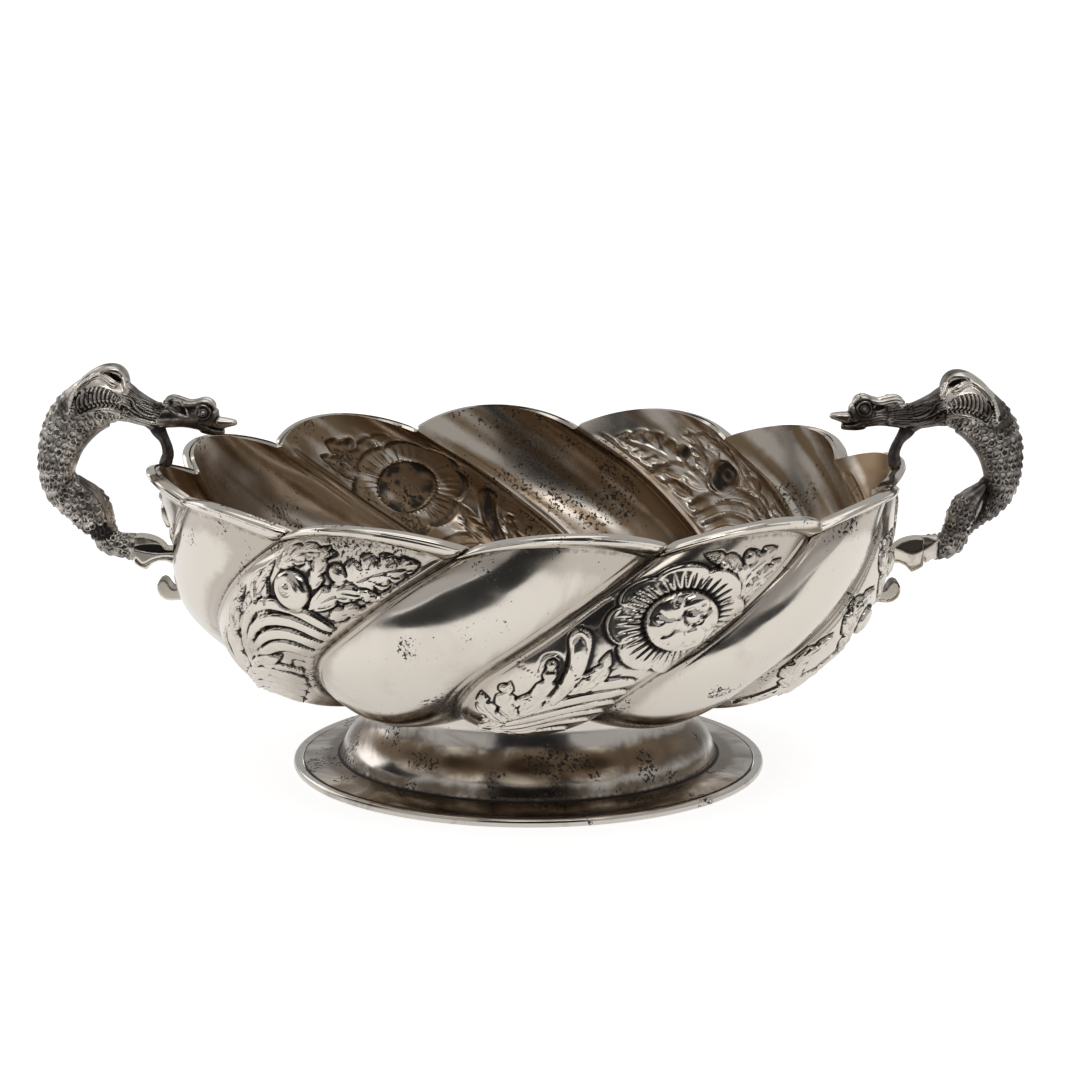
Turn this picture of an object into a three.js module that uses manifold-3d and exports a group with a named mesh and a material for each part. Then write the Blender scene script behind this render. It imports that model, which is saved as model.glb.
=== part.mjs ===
// Silver two-handled bowl: a sheet bowl raised in spiral lobes on a spun foot, with a wire
// soldered round each lobe of the lip and two cast dragon handles.
// Millimetres, +Z up. The origin is under the centre of the foot, and the handles lie on X.

import * as THREE from "three";
import { mergeVertices } from "three/addons/utils/BufferGeometryUtils.js";
import Module from "manifold-3d";

const wasm = await Module();
wasm.setup();

// Driving dimensions, in millimetres and degrees.
const seatGap = 0.3; // solder gap left between pieces that touch

const bowl = {
  lobes: 12,
  firstCrease: 21.4, // bearing of a crease at the lip, from +X
  twist: 37, // how far a lobe turns between the lip and its lower tip
  tipRadius: 103, // lip at the middle of a lobe
  creaseDepth: 7.7, // how far the lip draws in at a crease
  depth: 59.7, // from the base disc up to the lip at the middle of a lobe
  lipDip: 5.4, // how much lower the lip is at a crease
  baseRadius: 50, // flat disc under the bowl
  sheet: 1.0,
};

const rimWire = {
  reach: 2.7, // how far it stands out from the wall
  height: 3.6,
  rise: 0.4, // how far its top stands above the lip
  joint: 0.7, // left open between the ends of two wires, at a crease
};

const foot = {
  height: 25.7, // top of the neck, where the bowl sits
  neckRadius: 45,
  knuckleRadius: 52.7,
  knuckleHeight: 4.6,
  flangeRadius: 63.6,
  flangeHeight: 2.1, // upper face at the outer edge
  flangeRise: 1.1, // how much higher the flange is where it meets the knuckle
  sheet: 1.0,
};

const footWire = {
  width: 2.4,
  height: 2.3,
  flat: 1.5, // part of the width that is flat underneath and stands on the table
};

const bracket = {
  width: 6.4,
  socketReach: 7.3, // where the tail ends in the bracket, out from the lip
  blank: 18, // how far the blank runs in past the lip, before it is fitted to the wall
};

const facets = {
  acrossPlain: 6, // columns of facets on a plain lobe
  acrossChased: 8,
  downWall: 12,
  alongWire: 8,
  alongLeaf: 4, // stations along a chased leaf
  aroundBoss: 8,
  aroundPetal: 6,
  aroundFlower: 32,
  aroundFoot: 56,
  aroundWire: 6,
  aroundLimb: 12,
};

// Stations down the wall from the lip to the base disc. Each holds shares of the reach, of
// the depth and of the twist: first for the middle of a lobe, then for the crease.
const wallStations = [
  { ridge: [1.0, 1.0], crease: [1.0, 1.0], twist: 0.0 },
  { ridge: [0.965, 0.745], crease: [1.044, 0.784], twist: 0.29 },
  { ridge: [0.932, 0.529], crease: [0.987, 0.572], twist: 0.54 },
  { ridge: [0.85, 0.346], crease: [0.87, 0.378], twist: 0.77 },
  { ridge: [0.682, 0.165], crease: [0.66, 0.203], twist: 0.92 },
  { ridge: [0.46, 0.03], crease: [0.445, 0.092], twist: 0.98 },
  { ridge: [0.236, -0.024], crease: [0.24, 0.03], twist: 1.0 },
  { ridge: [0.094, -0.008], crease: [0.099, 0.008], twist: 1.0 },
  { ridge: [0.0, 0.0], crease: [0.0, 0.0], twist: 1.0 },
];

// The main forms chased on every second lobe. A place on a lobe is [across, down]: across from
// its upright middle line, and down from the lip along the wall. Lift is the height raised.
const rooted = 0.4 * bowl.sheet; // how deep the edge of a chased form lies in the sheet
const underside = 0.6 * bowl.sheet; // and how deep its middle lies
const hollowFrom = 5; // radius from which a boss shows inside the bowl
const hollowShare = 0.6; // depth of the hollow behind it, to its height
const creaseMargin = 0.045; // share of a lobe's width left bare along each crease
const flower = {
  at: [8.5, 24],
  reach: 20.5,
  squash: 0.77, // height to width
  scallops: 8,
  scallopDepth: 0.13, // share of the reach
  heart: 0.52, // share of the reach that the dome in the middle takes
  ringLift: [0.3, 1.1], // beside the dome, and at the scalloped edge
  domeLift: 1.5,
  petals: 6,
  petalAt: 0.3, // share of the reach out to the middle of a petal
  petalRadius: 3,
  petalLift: 2.1,
};
const motifs = {
  boss: {
    bosses: [
      { at: [10.3, 18.6], radius: 5.7, lift: 2.3 },
      { at: [25, 12.6], radius: 2.6, lift: 1.1 },
    ],
    leaves: [
      { line: [[-21, 56], [-18, 38], [-9, 20]], width: 3.6, lift: 0.9 },
      { line: [[-12, 42], [-6, 26], [4, 11]], width: 3.4, lift: 0.9 },
      { line: [[6, 13], [15, 8], [26, 7.5]], width: 3.2, lift: 0.8 },
      { line: [[24, 17], [35, 11], [47, 6.5]], width: 4.8, lift: 1.0 },
      { line: [[15, 23], [26, 17], [37, 18]], width: 3.0, lift: 1.2 },
      { line: [[-16, 47], [-2, 32], [23, 29]], width: 3.2, lift: 0.9 },
      { line: [[-15, 48], [-3, 38], [13, 36]], width: 3.0, lift: 0.9 },
      { line: [[-17, 51], [-9, 45], [0, 41]], width: 3.0, lift: 1.0 },
      { line: [[-26, 57], [-13, 51], [0, 54]], width: 3.2, lift: 0.9 },
      { line: [[-26, 60], [-17, 61], [-7, 64]], width: 3.6, lift: 0.9 },
    ],
  },
  flower: {
    bosses: [
      { at: [10.7, 22.5], radius: 2.6, lift: 2.8 },
      { at: [27.5, 9], radius: 2.2, lift: 1.0 },
    ],
    leaves: [
      { line: [[-36, 66], [-29, 50], [-14, 43.5], [0, 43.5]], width: 3.0, lift: 0.9 },
      { line: [[-35, 66], [-27, 57], [-15, 51], [-3, 52]], width: 3.0, lift: 0.9 },
      { line: [[-35, 67], [-26, 64], [-18, 59.5], [-8, 61]], width: 3.0, lift: 0.9 },
      { line: [[-31, 60], [-38, 53], [-41, 46]], width: 3.0, lift: 0.9 },
      { line: [[-30, 56], [-34, 48], [-34, 41]], width: 2.8, lift: 1.0 },
      { line: [[-29, 54], [-25, 44], [-24, 33]], width: 3.2, lift: 1.1 },
      { line: [[-21, 46], [-18, 35], [-17.5, 23]], width: 4.3, lift: 1.3 },
      { line: [[-17, 44], [-12, 38], [-10, 31]], width: 2.8, lift: 0.8 },
      { line: [[24, 21], [27, 13], [37, 7]], width: 5.0, lift: 0.9 },
    ],
  },
  scroll: {
    bosses: [
      { at: [24, 14.5], radius: 3.6, lift: 1.4 },
      { at: [5, 25], radius: 4.2, lift: 1.5 },
      { at: [-14, 38], radius: 4.2, lift: 1.5 },
    ],
    leaves: [
      { line: [[-34, 66], [-25, 53], [-17, 42]], width: 2.6, lift: 0.9 },
      { line: [[14, 21], [18, 12], [30, 8]], width: 3.2, lift: 1.0 },
      { line: [[-6, 33], [-5, 20], [8, 16]], width: 3.6, lift: 1.0 },
      { line: [[-20, 46], [-24, 34], [-13, 28]], width: 3.6, lift: 1.0 },
      { line: [[-31, 58], [-38, 47], [-31, 38]], width: 3.6, lift: 1.0 },
      { line: [[18, 20], [25, 22], [33, 16]], width: 3.0, lift: 1.0 },
      { line: [[-2, 34], [8, 35], [16, 27]], width: 3.4, lift: 1.0 },
      { line: [[-18, 47], [-8, 49], [0, 41]], width: 3.4, lift: 1.0 },
      { line: [[-30, 62], [-18, 60], [-8, 54]], width: 3.4, lift: 1.0 },
    ],
  },
};
const motifOrder = ["boss", "flower", "scroll"]; // over and over, with a plain lobe before each

// The dragon's limbs as stations [out from the lip, up from the lip, half depth, half width],
// seen from the side, and the sideways shift of the tail as a fifth value.
const bodyStations = [
  [17.6, -23.6, 0.8, 1.0],
  [21.0, -18.2, 1.6, 1.8],
  [24.2, -13.8, 2.4, 2.8],
  [26.9, -9.8, 3.4, 3.8],
  [28.2, -6.0, 4.3, 4.6],
  [28.7, -1.5, 4.7, 5.0],
  [28.0, 3.5, 5.5, 5.6],
  [25.5, 9.0, 6.5, 6.3],
  [21.5, 13.9, 7.2, 7.0],
  [16.8, 17.5, 8.1, 7.4],
  [10.9, 18.2, 7.8, 6.4],
  [6.8, 15.2, 5.5, 4.8],
  [2.4, 12.8, 4.7, 3.9],
  [-1.5, 13.6, 3.9, 3.6],
  [-5.0, 14.3, 4.1, 3.6],
  [-8.5, 14.2, 4.4, 3.7],
  [-12.0, 13.7, 4.1, 3.3],
  [-14.6, 12.9, 2.9, 2.6],
];
const tailStations = [
  [23.2, -7.6, 2.2, 2.4, -1.0],
  [18.9, -12.1, 3.9, 3.8, -1.6],
  [16.8, -17.2, 4.4, 4.2, -1.6],
  [15.1, -21.8, 4.6, 4.4, -0.8],
  [12.6, -24.2, 4.4, 4.3, 0.0],
  [9.8, -24.4, 4.1, 4.0, 0.0],
  [bracket.socketReach, -24.4, 3.9, 3.8, 0.0],
];
const upperBeak = [
  [-13.0, 13.2, 2.3, 2.4],
  [-15.6, 13.1, 1.5, 2.0],
  [-18.2, 12.9, 1.0, 1.5],
  [-20.6, 12.8, 0.4, 0.6],
];
const lowerJaw = [
  [-11.5, 10.6, 1.5, 2.2],
  [-14.4, 10.0, 1.1, 1.9],
  [-17.2, 9.3, 0.7, 1.2],
];
const strutStations = [
  [1.6, 10.6, 1.9, 1.8],
  [0.0, 6.6, 1.5, 1.5],
  [-1.4, 3.0, 1.5, 1.5],
];
const strutFoot = { out: 1.0, sink: 1.2, halfDepth: 1.8, halfWidth: 2.0 };
const wing = { out: 13.6, up: 18.8, tilt: -38, length: 9.8, depth: 6.6, width: 3.4, spread: 5.2 };
const ear = { out: -2.6, up: 16.6, tilt: 12, length: 4.6, depth: 1.5, width: 1.2, spread: 2.7 };
const eye = { out: -11.2, up: 15.2, tilt: 0, length: 2.3, depth: 2.3, width: 1.2, spread: 2.9 };

// Worked out from the driving dimensions.
const creaseRadius = bowl.tipRadius - bowl.creaseDepth;
const baseHeight = foot.height + seatGap;
const lipHeight = baseHeight + bowl.depth;
const lobeAngle = 360 / bowl.lobes;

// Keeps only the corner positions, merges shared corners and turns the faces outwards.
function closed(geometry) {
  const bare = new THREE.BufferGeometry();
  bare.setAttribute("position", geometry.getAttribute("position"));
  if (geometry.index) bare.setIndex(geometry.index);
  const merged = mergeVertices(bare, 1e-4);
  const points = merged.getAttribute("position");
  const corners = merged.index.array;
  const [a, b, c] = [new THREE.Vector3(), new THREE.Vector3(), new THREE.Vector3()];
  let volume = 0;
  for (let i = 0; i < corners.length; i += 3) {
    a.fromBufferAttribute(points, corners[i]);
    b.fromBufferAttribute(points, corners[i + 1]);
    c.fromBufferAttribute(points, corners[i + 2]);
    volume += a.dot(b.cross(c));
  }
  if (volume < 0) {
    for (let i = 0; i < corners.length; i += 3) {
      [corners[i], corners[i + 1]] = [corners[i + 1], corners[i]];
    }
  }
  return merged;
}

// Joins rings of equal count, each a list of points, and closes both ends. Each facet between
// two rings is split along its shorter diagonal.
function loft(rings) {
  const count = rings[0].length;
  const points = rings.flat();
  const faces = [];
  for (let i = 0; i + 1 < rings.length; i++) {
    for (let j = 0; j < count; j++) {
      const [a, b] = [i * count + j, i * count + ((j + 1) % count)];
      const [c, d] = [b + count, a + count];
      const leansOver = points[b].distanceTo(points[d]) < points[a].distanceTo(points[c]);
      faces.push(...(leansOver ? [a, b, d, b, c, d] : [a, b, c, a, c, d]));
    }
  }
  for (const [ring, start] of [[rings[0], 0], [rings.at(-1), (rings.length - 1) * count]]) {
    const middle = new THREE.Vector3();
    ring.forEach((point) => middle.addScaledVector(point, 1 / count));
    points.push(middle);
    for (let j = 0; j < count; j++) {
      const [a, b] = [start + j, start + ((j + 1) % count)];
      faces.push(points.length - 1, ...(start === 0 ? [b, a] : [a, b]));
    }
  }
  const geometry = new THREE.BufferGeometry().setFromPoints(points);
  geometry.setIndex(faces);
  return closed(geometry);
}

// A closed geometry as a solid that can be cut and joined, and back again.
function solid(geometry) {
  const mesh = new wasm.Mesh({
    numProp: 3,
    vertProperties: new Float32Array(geometry.getAttribute("position").array),
    triVerts: new Uint32Array(geometry.index.array),
  });
  return new wasm.Manifold(mesh);
}

function geometryOf(body) {
  const mesh = body.getMesh();
  const geometry = new THREE.BufferGeometry();
  geometry.setAttribute("position", new THREE.BufferAttribute(mesh.vertProperties, 3));
  geometry.setIndex(new THREE.BufferAttribute(mesh.triVerts, 1));
  return geometry;
}

// The two lines that shape the wall: x is the radius, y the height, z the twist in degrees.
const wallLine = (key, lipRadius, dip) =>
  new THREE.CatmullRomCurve3(
    wallStations.map((station) => {
      const [reach, rise] = station[key];
      return new THREE.Vector3(
        bowl.baseRadius + reach * (lipRadius - bowl.baseRadius),
        baseHeight + rise * (bowl.depth - dip),
        station.twist * bowl.twist,
      );
    }),
    false,
    "catmullrom",
  );
const ridgeLine = wallLine("ridge", bowl.tipRadius, 0);
const creaseLine = wallLine("crease", creaseRadius, bowl.lipDip);

// A point of the wall's outer face. Column counts from the first crease in lobes, and down
// runs from 0 at the lip to 1 at the base disc. A lobe swells as a parabola between creases.
function outerFace(column, down) {
  const across = 2 * (column - Math.floor(column)) - 1;
  const swell = 1 - across * across;
  const line = creaseLine.getPoint(down).lerp(ridgeLine.getPoint(down), swell);
  const bearing = THREE.MathUtils.degToRad(bowl.firstCrease + column * lobeAngle - line.z);
  return new THREE.Vector3(line.x * Math.cos(bearing), line.x * Math.sin(bearing), line.y);
}

// The same point moved out along the wall's normal.
function wallPoint(column, down, offset) {
  const point = outerFace(column, down);
  if (offset === 0) return point;
  if (down === 1) return point.add(new THREE.Vector3(0, 0, -offset));
  const step = 0.01;
  const sideways = outerFace(column + step, down).sub(outerFace(column - step, down));
  const downwards = outerFace(column, down + step).sub(outerFace(column, Math.max(0, down - step)));
  return point.addScaledVector(downwards.cross(sideways).normalize(), offset);
}

const evenly = (count, from, to) =>
  Array.from({ length: count }, (_, i) => from + ((to - from) * i) / count);
const isChased = (lobe) => lobe % 2 === 1;
const wallColumns = evenly(bowl.lobes, 0, bowl.lobes).flatMap((lobe) =>
  evenly(isChased(lobe) ? facets.acrossChased : facets.acrossPlain, lobe, lobe + 1),
);
const wallRows = [...evenly(facets.downWall, 0, 1), 1];
const wallRings = (offset) =>
  wallRows.map((down) => wallColumns.map((column) => wallPoint(column, down, offset)));

// A place on a chased lobe, raised by its height over the wall's outer face. Nothing crosses a
// crease.
const ridgeProfile = ridgeLine.points.map((point) => new THREE.Vector3(point.x, point.y, 0));
const lengthDown = new THREE.CatmullRomCurve3(ridgeProfile, false, "catmullrom");
function chasedPoint(lobe, place, height) {
  const down = lengthDown.getUtoTmapping(0, place.y);
  const ridge = ridgeLine.getPoint(down);
  const bearing = THREE.MathUtils.radToDeg(place.x / ridge.x) - bowl.twist / 2 + ridge.z;
  const across = THREE.MathUtils.clamp(0.5 + bearing / lobeAngle, creaseMargin, 1 - creaseMargin);
  return wallPoint(lobe + across, down, height);
}

// A leaf is a low ridge with two sloping sides, pointed at both ends.
function leafForm(lobe, base, { line, width, lift }) {
  const stem = new THREE.SplineCurve(line.map((at) => new THREE.Vector2(...at)));
  const rings = evenly(facets.alongLeaf, 0.5, facets.alongLeaf + 0.5).map((station) => {
    const along = station / facets.alongLeaf;
    const middle = stem.getPoint(along);
    const half = width * Math.sin(Math.PI * along) ** 0.75;
    const ahead = stem.getTangent(along);
    const beside = new THREE.Vector2(-ahead.y, ahead.x).multiplyScalar(half);
    return [
      chasedPoint(lobe, middle.clone().add(beside), base - rooted),
      chasedPoint(lobe, middle, base + lift),
      chasedPoint(lobe, middle.clone().sub(beside), base - rooted),
      chasedPoint(lobe, middle, base - underside),
    ];
  });
  return solid(loft(rings));
}

// A round form. Its profile is [share of the outline, height], and the outline gives the reach
// at each angle.
function roundForm(lobe, base, at, profile, count, outline) {
  const rings = profile.map(([share, height]) =>
    evenly(count, 0, 2 * Math.PI).map((turn) => {
      const place = outline(turn, share).multiplyScalar(share).add(new THREE.Vector2(...at));
      return chasedPoint(lobe, place, base + height);
    }),
  );
  return solid(loft(rings));
}

// A boss, from its underside out to its root in the sheet, up to its shoulder and in to its top.
function bossForm(lobe, base, { at, radius, lift }, count = facets.aroundBoss) {
  const profile = [[0.8, -underside], [1, -rooted], [0.9, 0.45 * lift], [0.45, lift]];
  const circle = (turn) => new THREE.Vector2(radius * Math.cos(turn), radius * Math.sin(turn));
  return roundForm(lobe, base, at, profile, count, circle);
}

const onFlower = (turn, radius) =>
  new THREE.Vector2(radius * Math.cos(turn), radius * flower.squash * Math.sin(turn));

// The open flower: a scalloped ring, dished towards a dome in its middle.
function flowerForm(lobe, base, { ringLift, domeLift }, count = facets.aroundFlower) {
  const { at, reach, heart } = flower;
  const outline = (turn, share) => {
    const notch = share > heart ? 1 - Math.abs(Math.cos((flower.scallops * turn) / 2)) : 0;
    return onFlower(turn, reach * (1 - flower.scallopDepth * notch));
  };
  const below = [0.12, 0.35, 0.65, 0.9].map((share) => [share, -underside]);
  const ring = [[1, -rooted], [0.95, ringLift[1]], [heart + 0.02, ringLift[0]]];
  const dome = [[heart - 0.03, 0.6 * domeLift], [0.7 * heart, domeLift], [0.2 * heart, domeLift]];
  const profile = [...below, ...ring, ...dome];
  return roundForm(lobe, base, at, profile, count, outline);
}

// Round petals in a ring on the flower's dome.
function petalForms(lobe, base) {
  const { at, reach, petals, petalAt, petalRadius, petalLift } = flower;
  return evenly(petals, 0, 2 * Math.PI).map((turn) => {
    const middle = onFlower(turn, petalAt * reach).add(new THREE.Vector2(...at));
    const petal = { at: middle, radius: petalRadius, lift: petalLift };
    return bossForm(lobe, base, petal, facets.aroundPetal);
  });
}

// All forms on one lobe, standing on the wall's outer face or, by base, off it.
const motifOf = (lobe) => motifOrder[((lobe - 1) / 2) % motifOrder.length];
function chasedForms(lobe, base) {
  const { bosses, leaves } = motifs[motifOf(lobe)];
  return [
    ...(motifOf(lobe) === "flower" ? [flowerForm(lobe, base, flower), ...petalForms(lobe, base)] : []),
    ...leaves.map((leaf) => leafForm(lobe, base, leaf)),
    ...bosses.map((boss) => bossForm(lobe, base, boss)),
  ];
}
const joined = (parts) => parts.reduce((sum, part) => sum.add(part));
const chasedLobes = evenly(bowl.lobes, 0, bowl.lobes).filter(isChased);
const chasing = (base) => joined(chasedLobes.flatMap((lobe) => chasedForms(lobe, base)));

// The flowers and the large bosses are hollow behind, where they were pushed out, but shallower
// than they are high, so that the sheet between them stays whole.
const hollows = () => {
  const ringLift = flower.ringLift.map((lift) => hollowShare * lift);
  const shallow = { ringLift, domeLift: hollowShare * flower.domeLift };
  return joined(
    chasedLobes.flatMap((lobe) => {
      if (motifOf(lobe) === "flower") {
        return [flowerForm(lobe, -bowl.sheet, shallow, facets.aroundFlower / 2)];
      }
      return motifs[motifOf(lobe)].bosses
        .filter((boss) => boss.radius > hollowFrom)
        .map((boss) => bossForm(lobe, -bowl.sheet, { ...boss, lift: hollowShare * boss.lift }));
    }),
  );
};

// The bowl: its outer face up from the base disc, over the lip and down the inner face, with
// the chased forms raised outside.
function bowlGeometry() {
  const sheet = solid(loft([...wallRings(0).reverse(), ...wallRings(-bowl.sheet)]));
  return geometryOf(sheet.add(chasing(0)).subtract(hollows()));
}

// The filled bowl with the solder gap round it, turned so that the handle's bearing lies on X.
// What a handle stands against is fitted to it.
function bowlFitting(bearing) {
  return solid(loft(wallRings(seatGap))).add(chasing(seatGap)).rotate([0, 0, -bearing]);
}

// A half-round section of the rim wire, its flat back along the wall below the lip. The back
// follows the wall's first row of facets, so that the wire lies on them all the way round.
function wireSection(column, grow) {
  const lip = wallPoint(column, 0, seatGap - grow);
  const below = wallPoint(column, 1 / facets.downWall, seatGap - grow);
  const onBack = (drop) => lip.clone().lerp(below, drop / (lip.z - below.z));
  const outward = new THREE.Vector3(lip.x, lip.y, 0).normalize();
  return Array.from({ length: facets.aroundWire + 1 }, (_, k) => {
    const turn = Math.PI * (k / facets.aroundWire - 0.5);
    const drop = rimWire.height / 2 - rimWire.rise - (rimWire.height / 2 + grow) * Math.sin(turn);
    return onBack(drop).addScaledVector(outward, (rimWire.reach + 2 * grow) * Math.cos(turn));
  });
}

// One wire runs along one lobe and stops half a joint short of each crease.
function rimWireGeometry(lobe) {
  const lobeLength = creaseRadius * THREE.MathUtils.degToRad(lobeAngle);
  const stop = rimWire.joint / 2 / lobeLength;
  const sections = [];
  for (let j = 0; j <= facets.alongWire; j++) {
    const along = THREE.MathUtils.clamp(j / facets.alongWire, stop, 1 - stop);
    sections.push(wireSection(lobe + along, 0));
  }
  return loft(sections);
}

// A lobe's wire grown by the solder gap, turned like the filled bowl.
function wireFitting(lobe, bearing) {
  const columns = Array.from({ length: facets.alongWire + 1 }, (_, j) => j / facets.alongWire);
  return solid(loft(columns.map((along) => wireSection(lobe + along, seatGap)))).rotate([0, 0, -bearing]);
}

// A closed section turned round the upright axis.
function turned(points) {
  const lathe = new THREE.LatheGeometry([...points, points[0].clone()], facets.aroundFoot);
  return closed(lathe.rotateX(Math.PI / 2));
}

// The spun foot: neck, knuckle and flange of one sheet, thickened inwards from its outer line.
function footGeometry() {
  const neckLength = foot.height - foot.knuckleHeight;
  const shoulder = foot.knuckleRadius - foot.neckRadius;
  const onShoulder = (out, up) =>
    new THREE.Vector2(foot.neckRadius + out * shoulder, foot.knuckleHeight + up * neckLength);
  const innerFlange = foot.flangeHeight + foot.flangeRise;
  const outer = [
    onShoulder(0, 1),
    onShoulder(0, 0.72),
    onShoulder(0.1, 0.55),
    onShoulder(0.3, 0.41),
    onShoulder(0.65, 0.25),
    onShoulder(0.9, 0.11),
    onShoulder(1, 0),
    new THREE.Vector2(foot.knuckleRadius, innerFlange),
    new THREE.Vector2(foot.flangeRadius, foot.flangeHeight),
  ];
  const inner = outer.map((point, i) => {
    if (i === 0) return point.clone().add(new THREE.Vector2(-foot.sheet, 0));
    if (i === outer.length - 1) return point.clone().add(new THREE.Vector2(0, -foot.sheet));
    const along = outer[i + 1].clone().sub(outer[i - 1]).normalize();
    return point.clone().add(new THREE.Vector2(along.y, -along.x).multiplyScalar(foot.sheet));
  });
  return turned([...outer, ...inner.reverse()]);
}

// The wire round the foot's edge, on which the bowl stands: flat below and round outside.
function footWireGeometry() {
  const inner = foot.flangeRadius + seatGap;
  const middle = inner + footWire.flat;
  const half = footWire.height / 2;
  const round = Array.from({ length: facets.aroundWire + 1 }, (_, k) => {
    const turn = Math.PI * (k / facets.aroundWire - 0.5);
    const reach = (footWire.width - footWire.flat) * Math.cos(turn);
    return new THREE.Vector2(middle + reach, half + half * Math.sin(turn));
  });
  return turned([new THREE.Vector2(inner, 0), ...round, new THREE.Vector2(inner, footWire.height)]);
}

// A limb swept through its stations, round or oval in section.
function limb(stations, grow = 0) {
  const line = stations.map(
    ([out, up, , , side = 0]) => new THREE.Vector3(bowl.tipRadius + out, side, lipHeight + up),
  );
  const rings = line.map((centre, i) => {
    const along = line[Math.min(i + 1, line.length - 1)].clone().sub(line[Math.max(i - 1, 0)]);
    const depthwise = new THREE.Vector3(-along.z, 0, along.x).normalize();
    const [, , halfDepth, halfWidth] = stations[i];
    return Array.from({ length: facets.aroundLimb }, (_, k) => {
      const turn = (2 * Math.PI * k) / facets.aroundLimb;
      const sideways = new THREE.Vector3(0, (halfWidth + grow) * Math.sin(turn), 0);
      return centre.clone().addScaledVector(depthwise, (halfDepth + grow) * Math.cos(turn)).add(sideways);
    });
  });
  return solid(loft(rings));
}

// A low oval boss on each cheek or flank: wing, ear or eye.
function bossPair({ out, up, tilt, length, depth, width, spread }) {
  return [-1, 1].map((side) => {
    const boss = new THREE.SphereGeometry(1, 10, 6);
    boss.scale(length, width, depth);
    boss.rotateY(THREE.MathUtils.degToRad(tilt));
    boss.translate(bowl.tipRadius + out, side * spread, lipHeight + up);
    return solid(closed(boss));
  });
}

// The dragon casting: body, neck and head in one sweep, with tail, beak, wings, ears and eyes.
function dragonGeometry() {
  const limbs = [tailStations, upperBeak, lowerJaw].map((stations) => limb(stations));
  const bosses = [wing, ear, eye].flatMap(bossPair);
  return geometryOf([...limbs, ...bosses].reduce((sum, part) => sum.add(part), limb(bodyStations)));
}

// The strut carries the dragon's neck and stands on the rim wire, wherever that runs.
function strutGeometry(bearing) {
  const column = (((bearing - bowl.firstCrease) / lobeAngle) % bowl.lobes + bowl.lobes) % bowl.lobes;
  const lip = outerFace(column, 0);
  const footStation = [
    Math.hypot(lip.x, lip.y) + strutFoot.out - bowl.tipRadius,
    lip.z - strutFoot.sink - lipHeight,
    strutFoot.halfDepth,
    strutFoot.halfWidth,
  ];
  return geometryOf(
    limb([...strutStations, footStation])
      .subtract(limb(bodyStations, seatGap))
      .subtract(wireFitting(Math.floor(column), bearing))
      .subtract(bowlFitting(bearing)),
  );
}

// The bracket from the tail to the wall, with a cusp below, an arc and a scroll at its foot.
// Its outline is drawn out from the lip and up from the lip.
function bracketGeometry(bearing) {
  const start = bracket.socketReach - seatGap;
  const shape = new THREE.Shape();
  shape.moveTo(start, -20.8);
  shape.bezierCurveTo(start - 3, -20.4, -0.5, -21.5, -1.8, -24.2);
  shape.lineTo(-bracket.blank, -25.2);
  shape.lineTo(-bracket.blank, -37.5);
  shape.bezierCurveTo(-6, -38.4, -3.4, -39.6, -1.2, -38.6);
  shape.bezierCurveTo(1.6, -37.4, 1.4, -32.8, -1, -32.8);
  shape.bezierCurveTo(-2.8, -33, -2.6, -35.6, -4.2, -35.6);
  shape.bezierCurveTo(-6.6, -35.4, -6.4, -31.6, -5, -29.8);
  shape.bezierCurveTo(-2.6, -26.8, 1.2, -26.4, 3.6, -30.2);
  shape.quadraticCurveTo(5.6, -29.6, start, -28.4);
  shape.closePath();
  const settings = { depth: bracket.width, bevelEnabled: false, curveSegments: 5 };
  const blank = new THREE.ExtrudeGeometry(shape, settings);
  blank.rotateX(Math.PI / 2);
  blank.translate(bowl.tipRadius, bracket.width / 2, lipHeight);
  return geometryOf(solid(closed(blank)).subtract(bowlFitting(bearing)));
}

const silver = { color: 0xd8d3cb, roughness: 0.22, metalness: 1 };
const rubbedSilver = { color: 0xc9c3ba, roughness: 0.34, metalness: 1 };
const darkSilver = { color: 0x8d877f, roughness: 0.42, metalness: 1 };

function piece(name, geometry, finish) {
  const mesh = new THREE.Mesh(geometry, new THREE.MeshStandardMaterial(finish));
  mesh.name = name;
  return mesh;
}

const model = new THREE.Group();
model.add(piece("bowl", bowlGeometry(), silver));
for (let lobe = 0; lobe < bowl.lobes; lobe++) {
  const name = `rim_wire_${String(lobe + 1).padStart(2, "0")}`;
  model.add(piece(name, rimWireGeometry(lobe), silver));
}
model.add(piece("foot", footGeometry(), rubbedSilver));
model.add(piece("foot_wire", footWireGeometry(), rubbedSilver));

// One pattern casts both handles. Each is drawn on X and turned to its bearing.
for (const [side, bearing] of [["right", 0], ["left", 180]]) {
  const group = new THREE.Group();
  group.rotation.z = THREE.MathUtils.degToRad(bearing);
  group.add(piece(`${side}_dragon`, dragonGeometry(), darkSilver));
  group.add(piece(`${side}_strut`, strutGeometry(bearing), darkSilver));
  group.add(piece(`${side}_bracket`, bracketGeometry(bearing), darkSilver));
  model.add(group);
}

export default model;
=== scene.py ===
import math
import bpy
import numpy as np
from mathutils import Matrix, Vector


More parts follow.
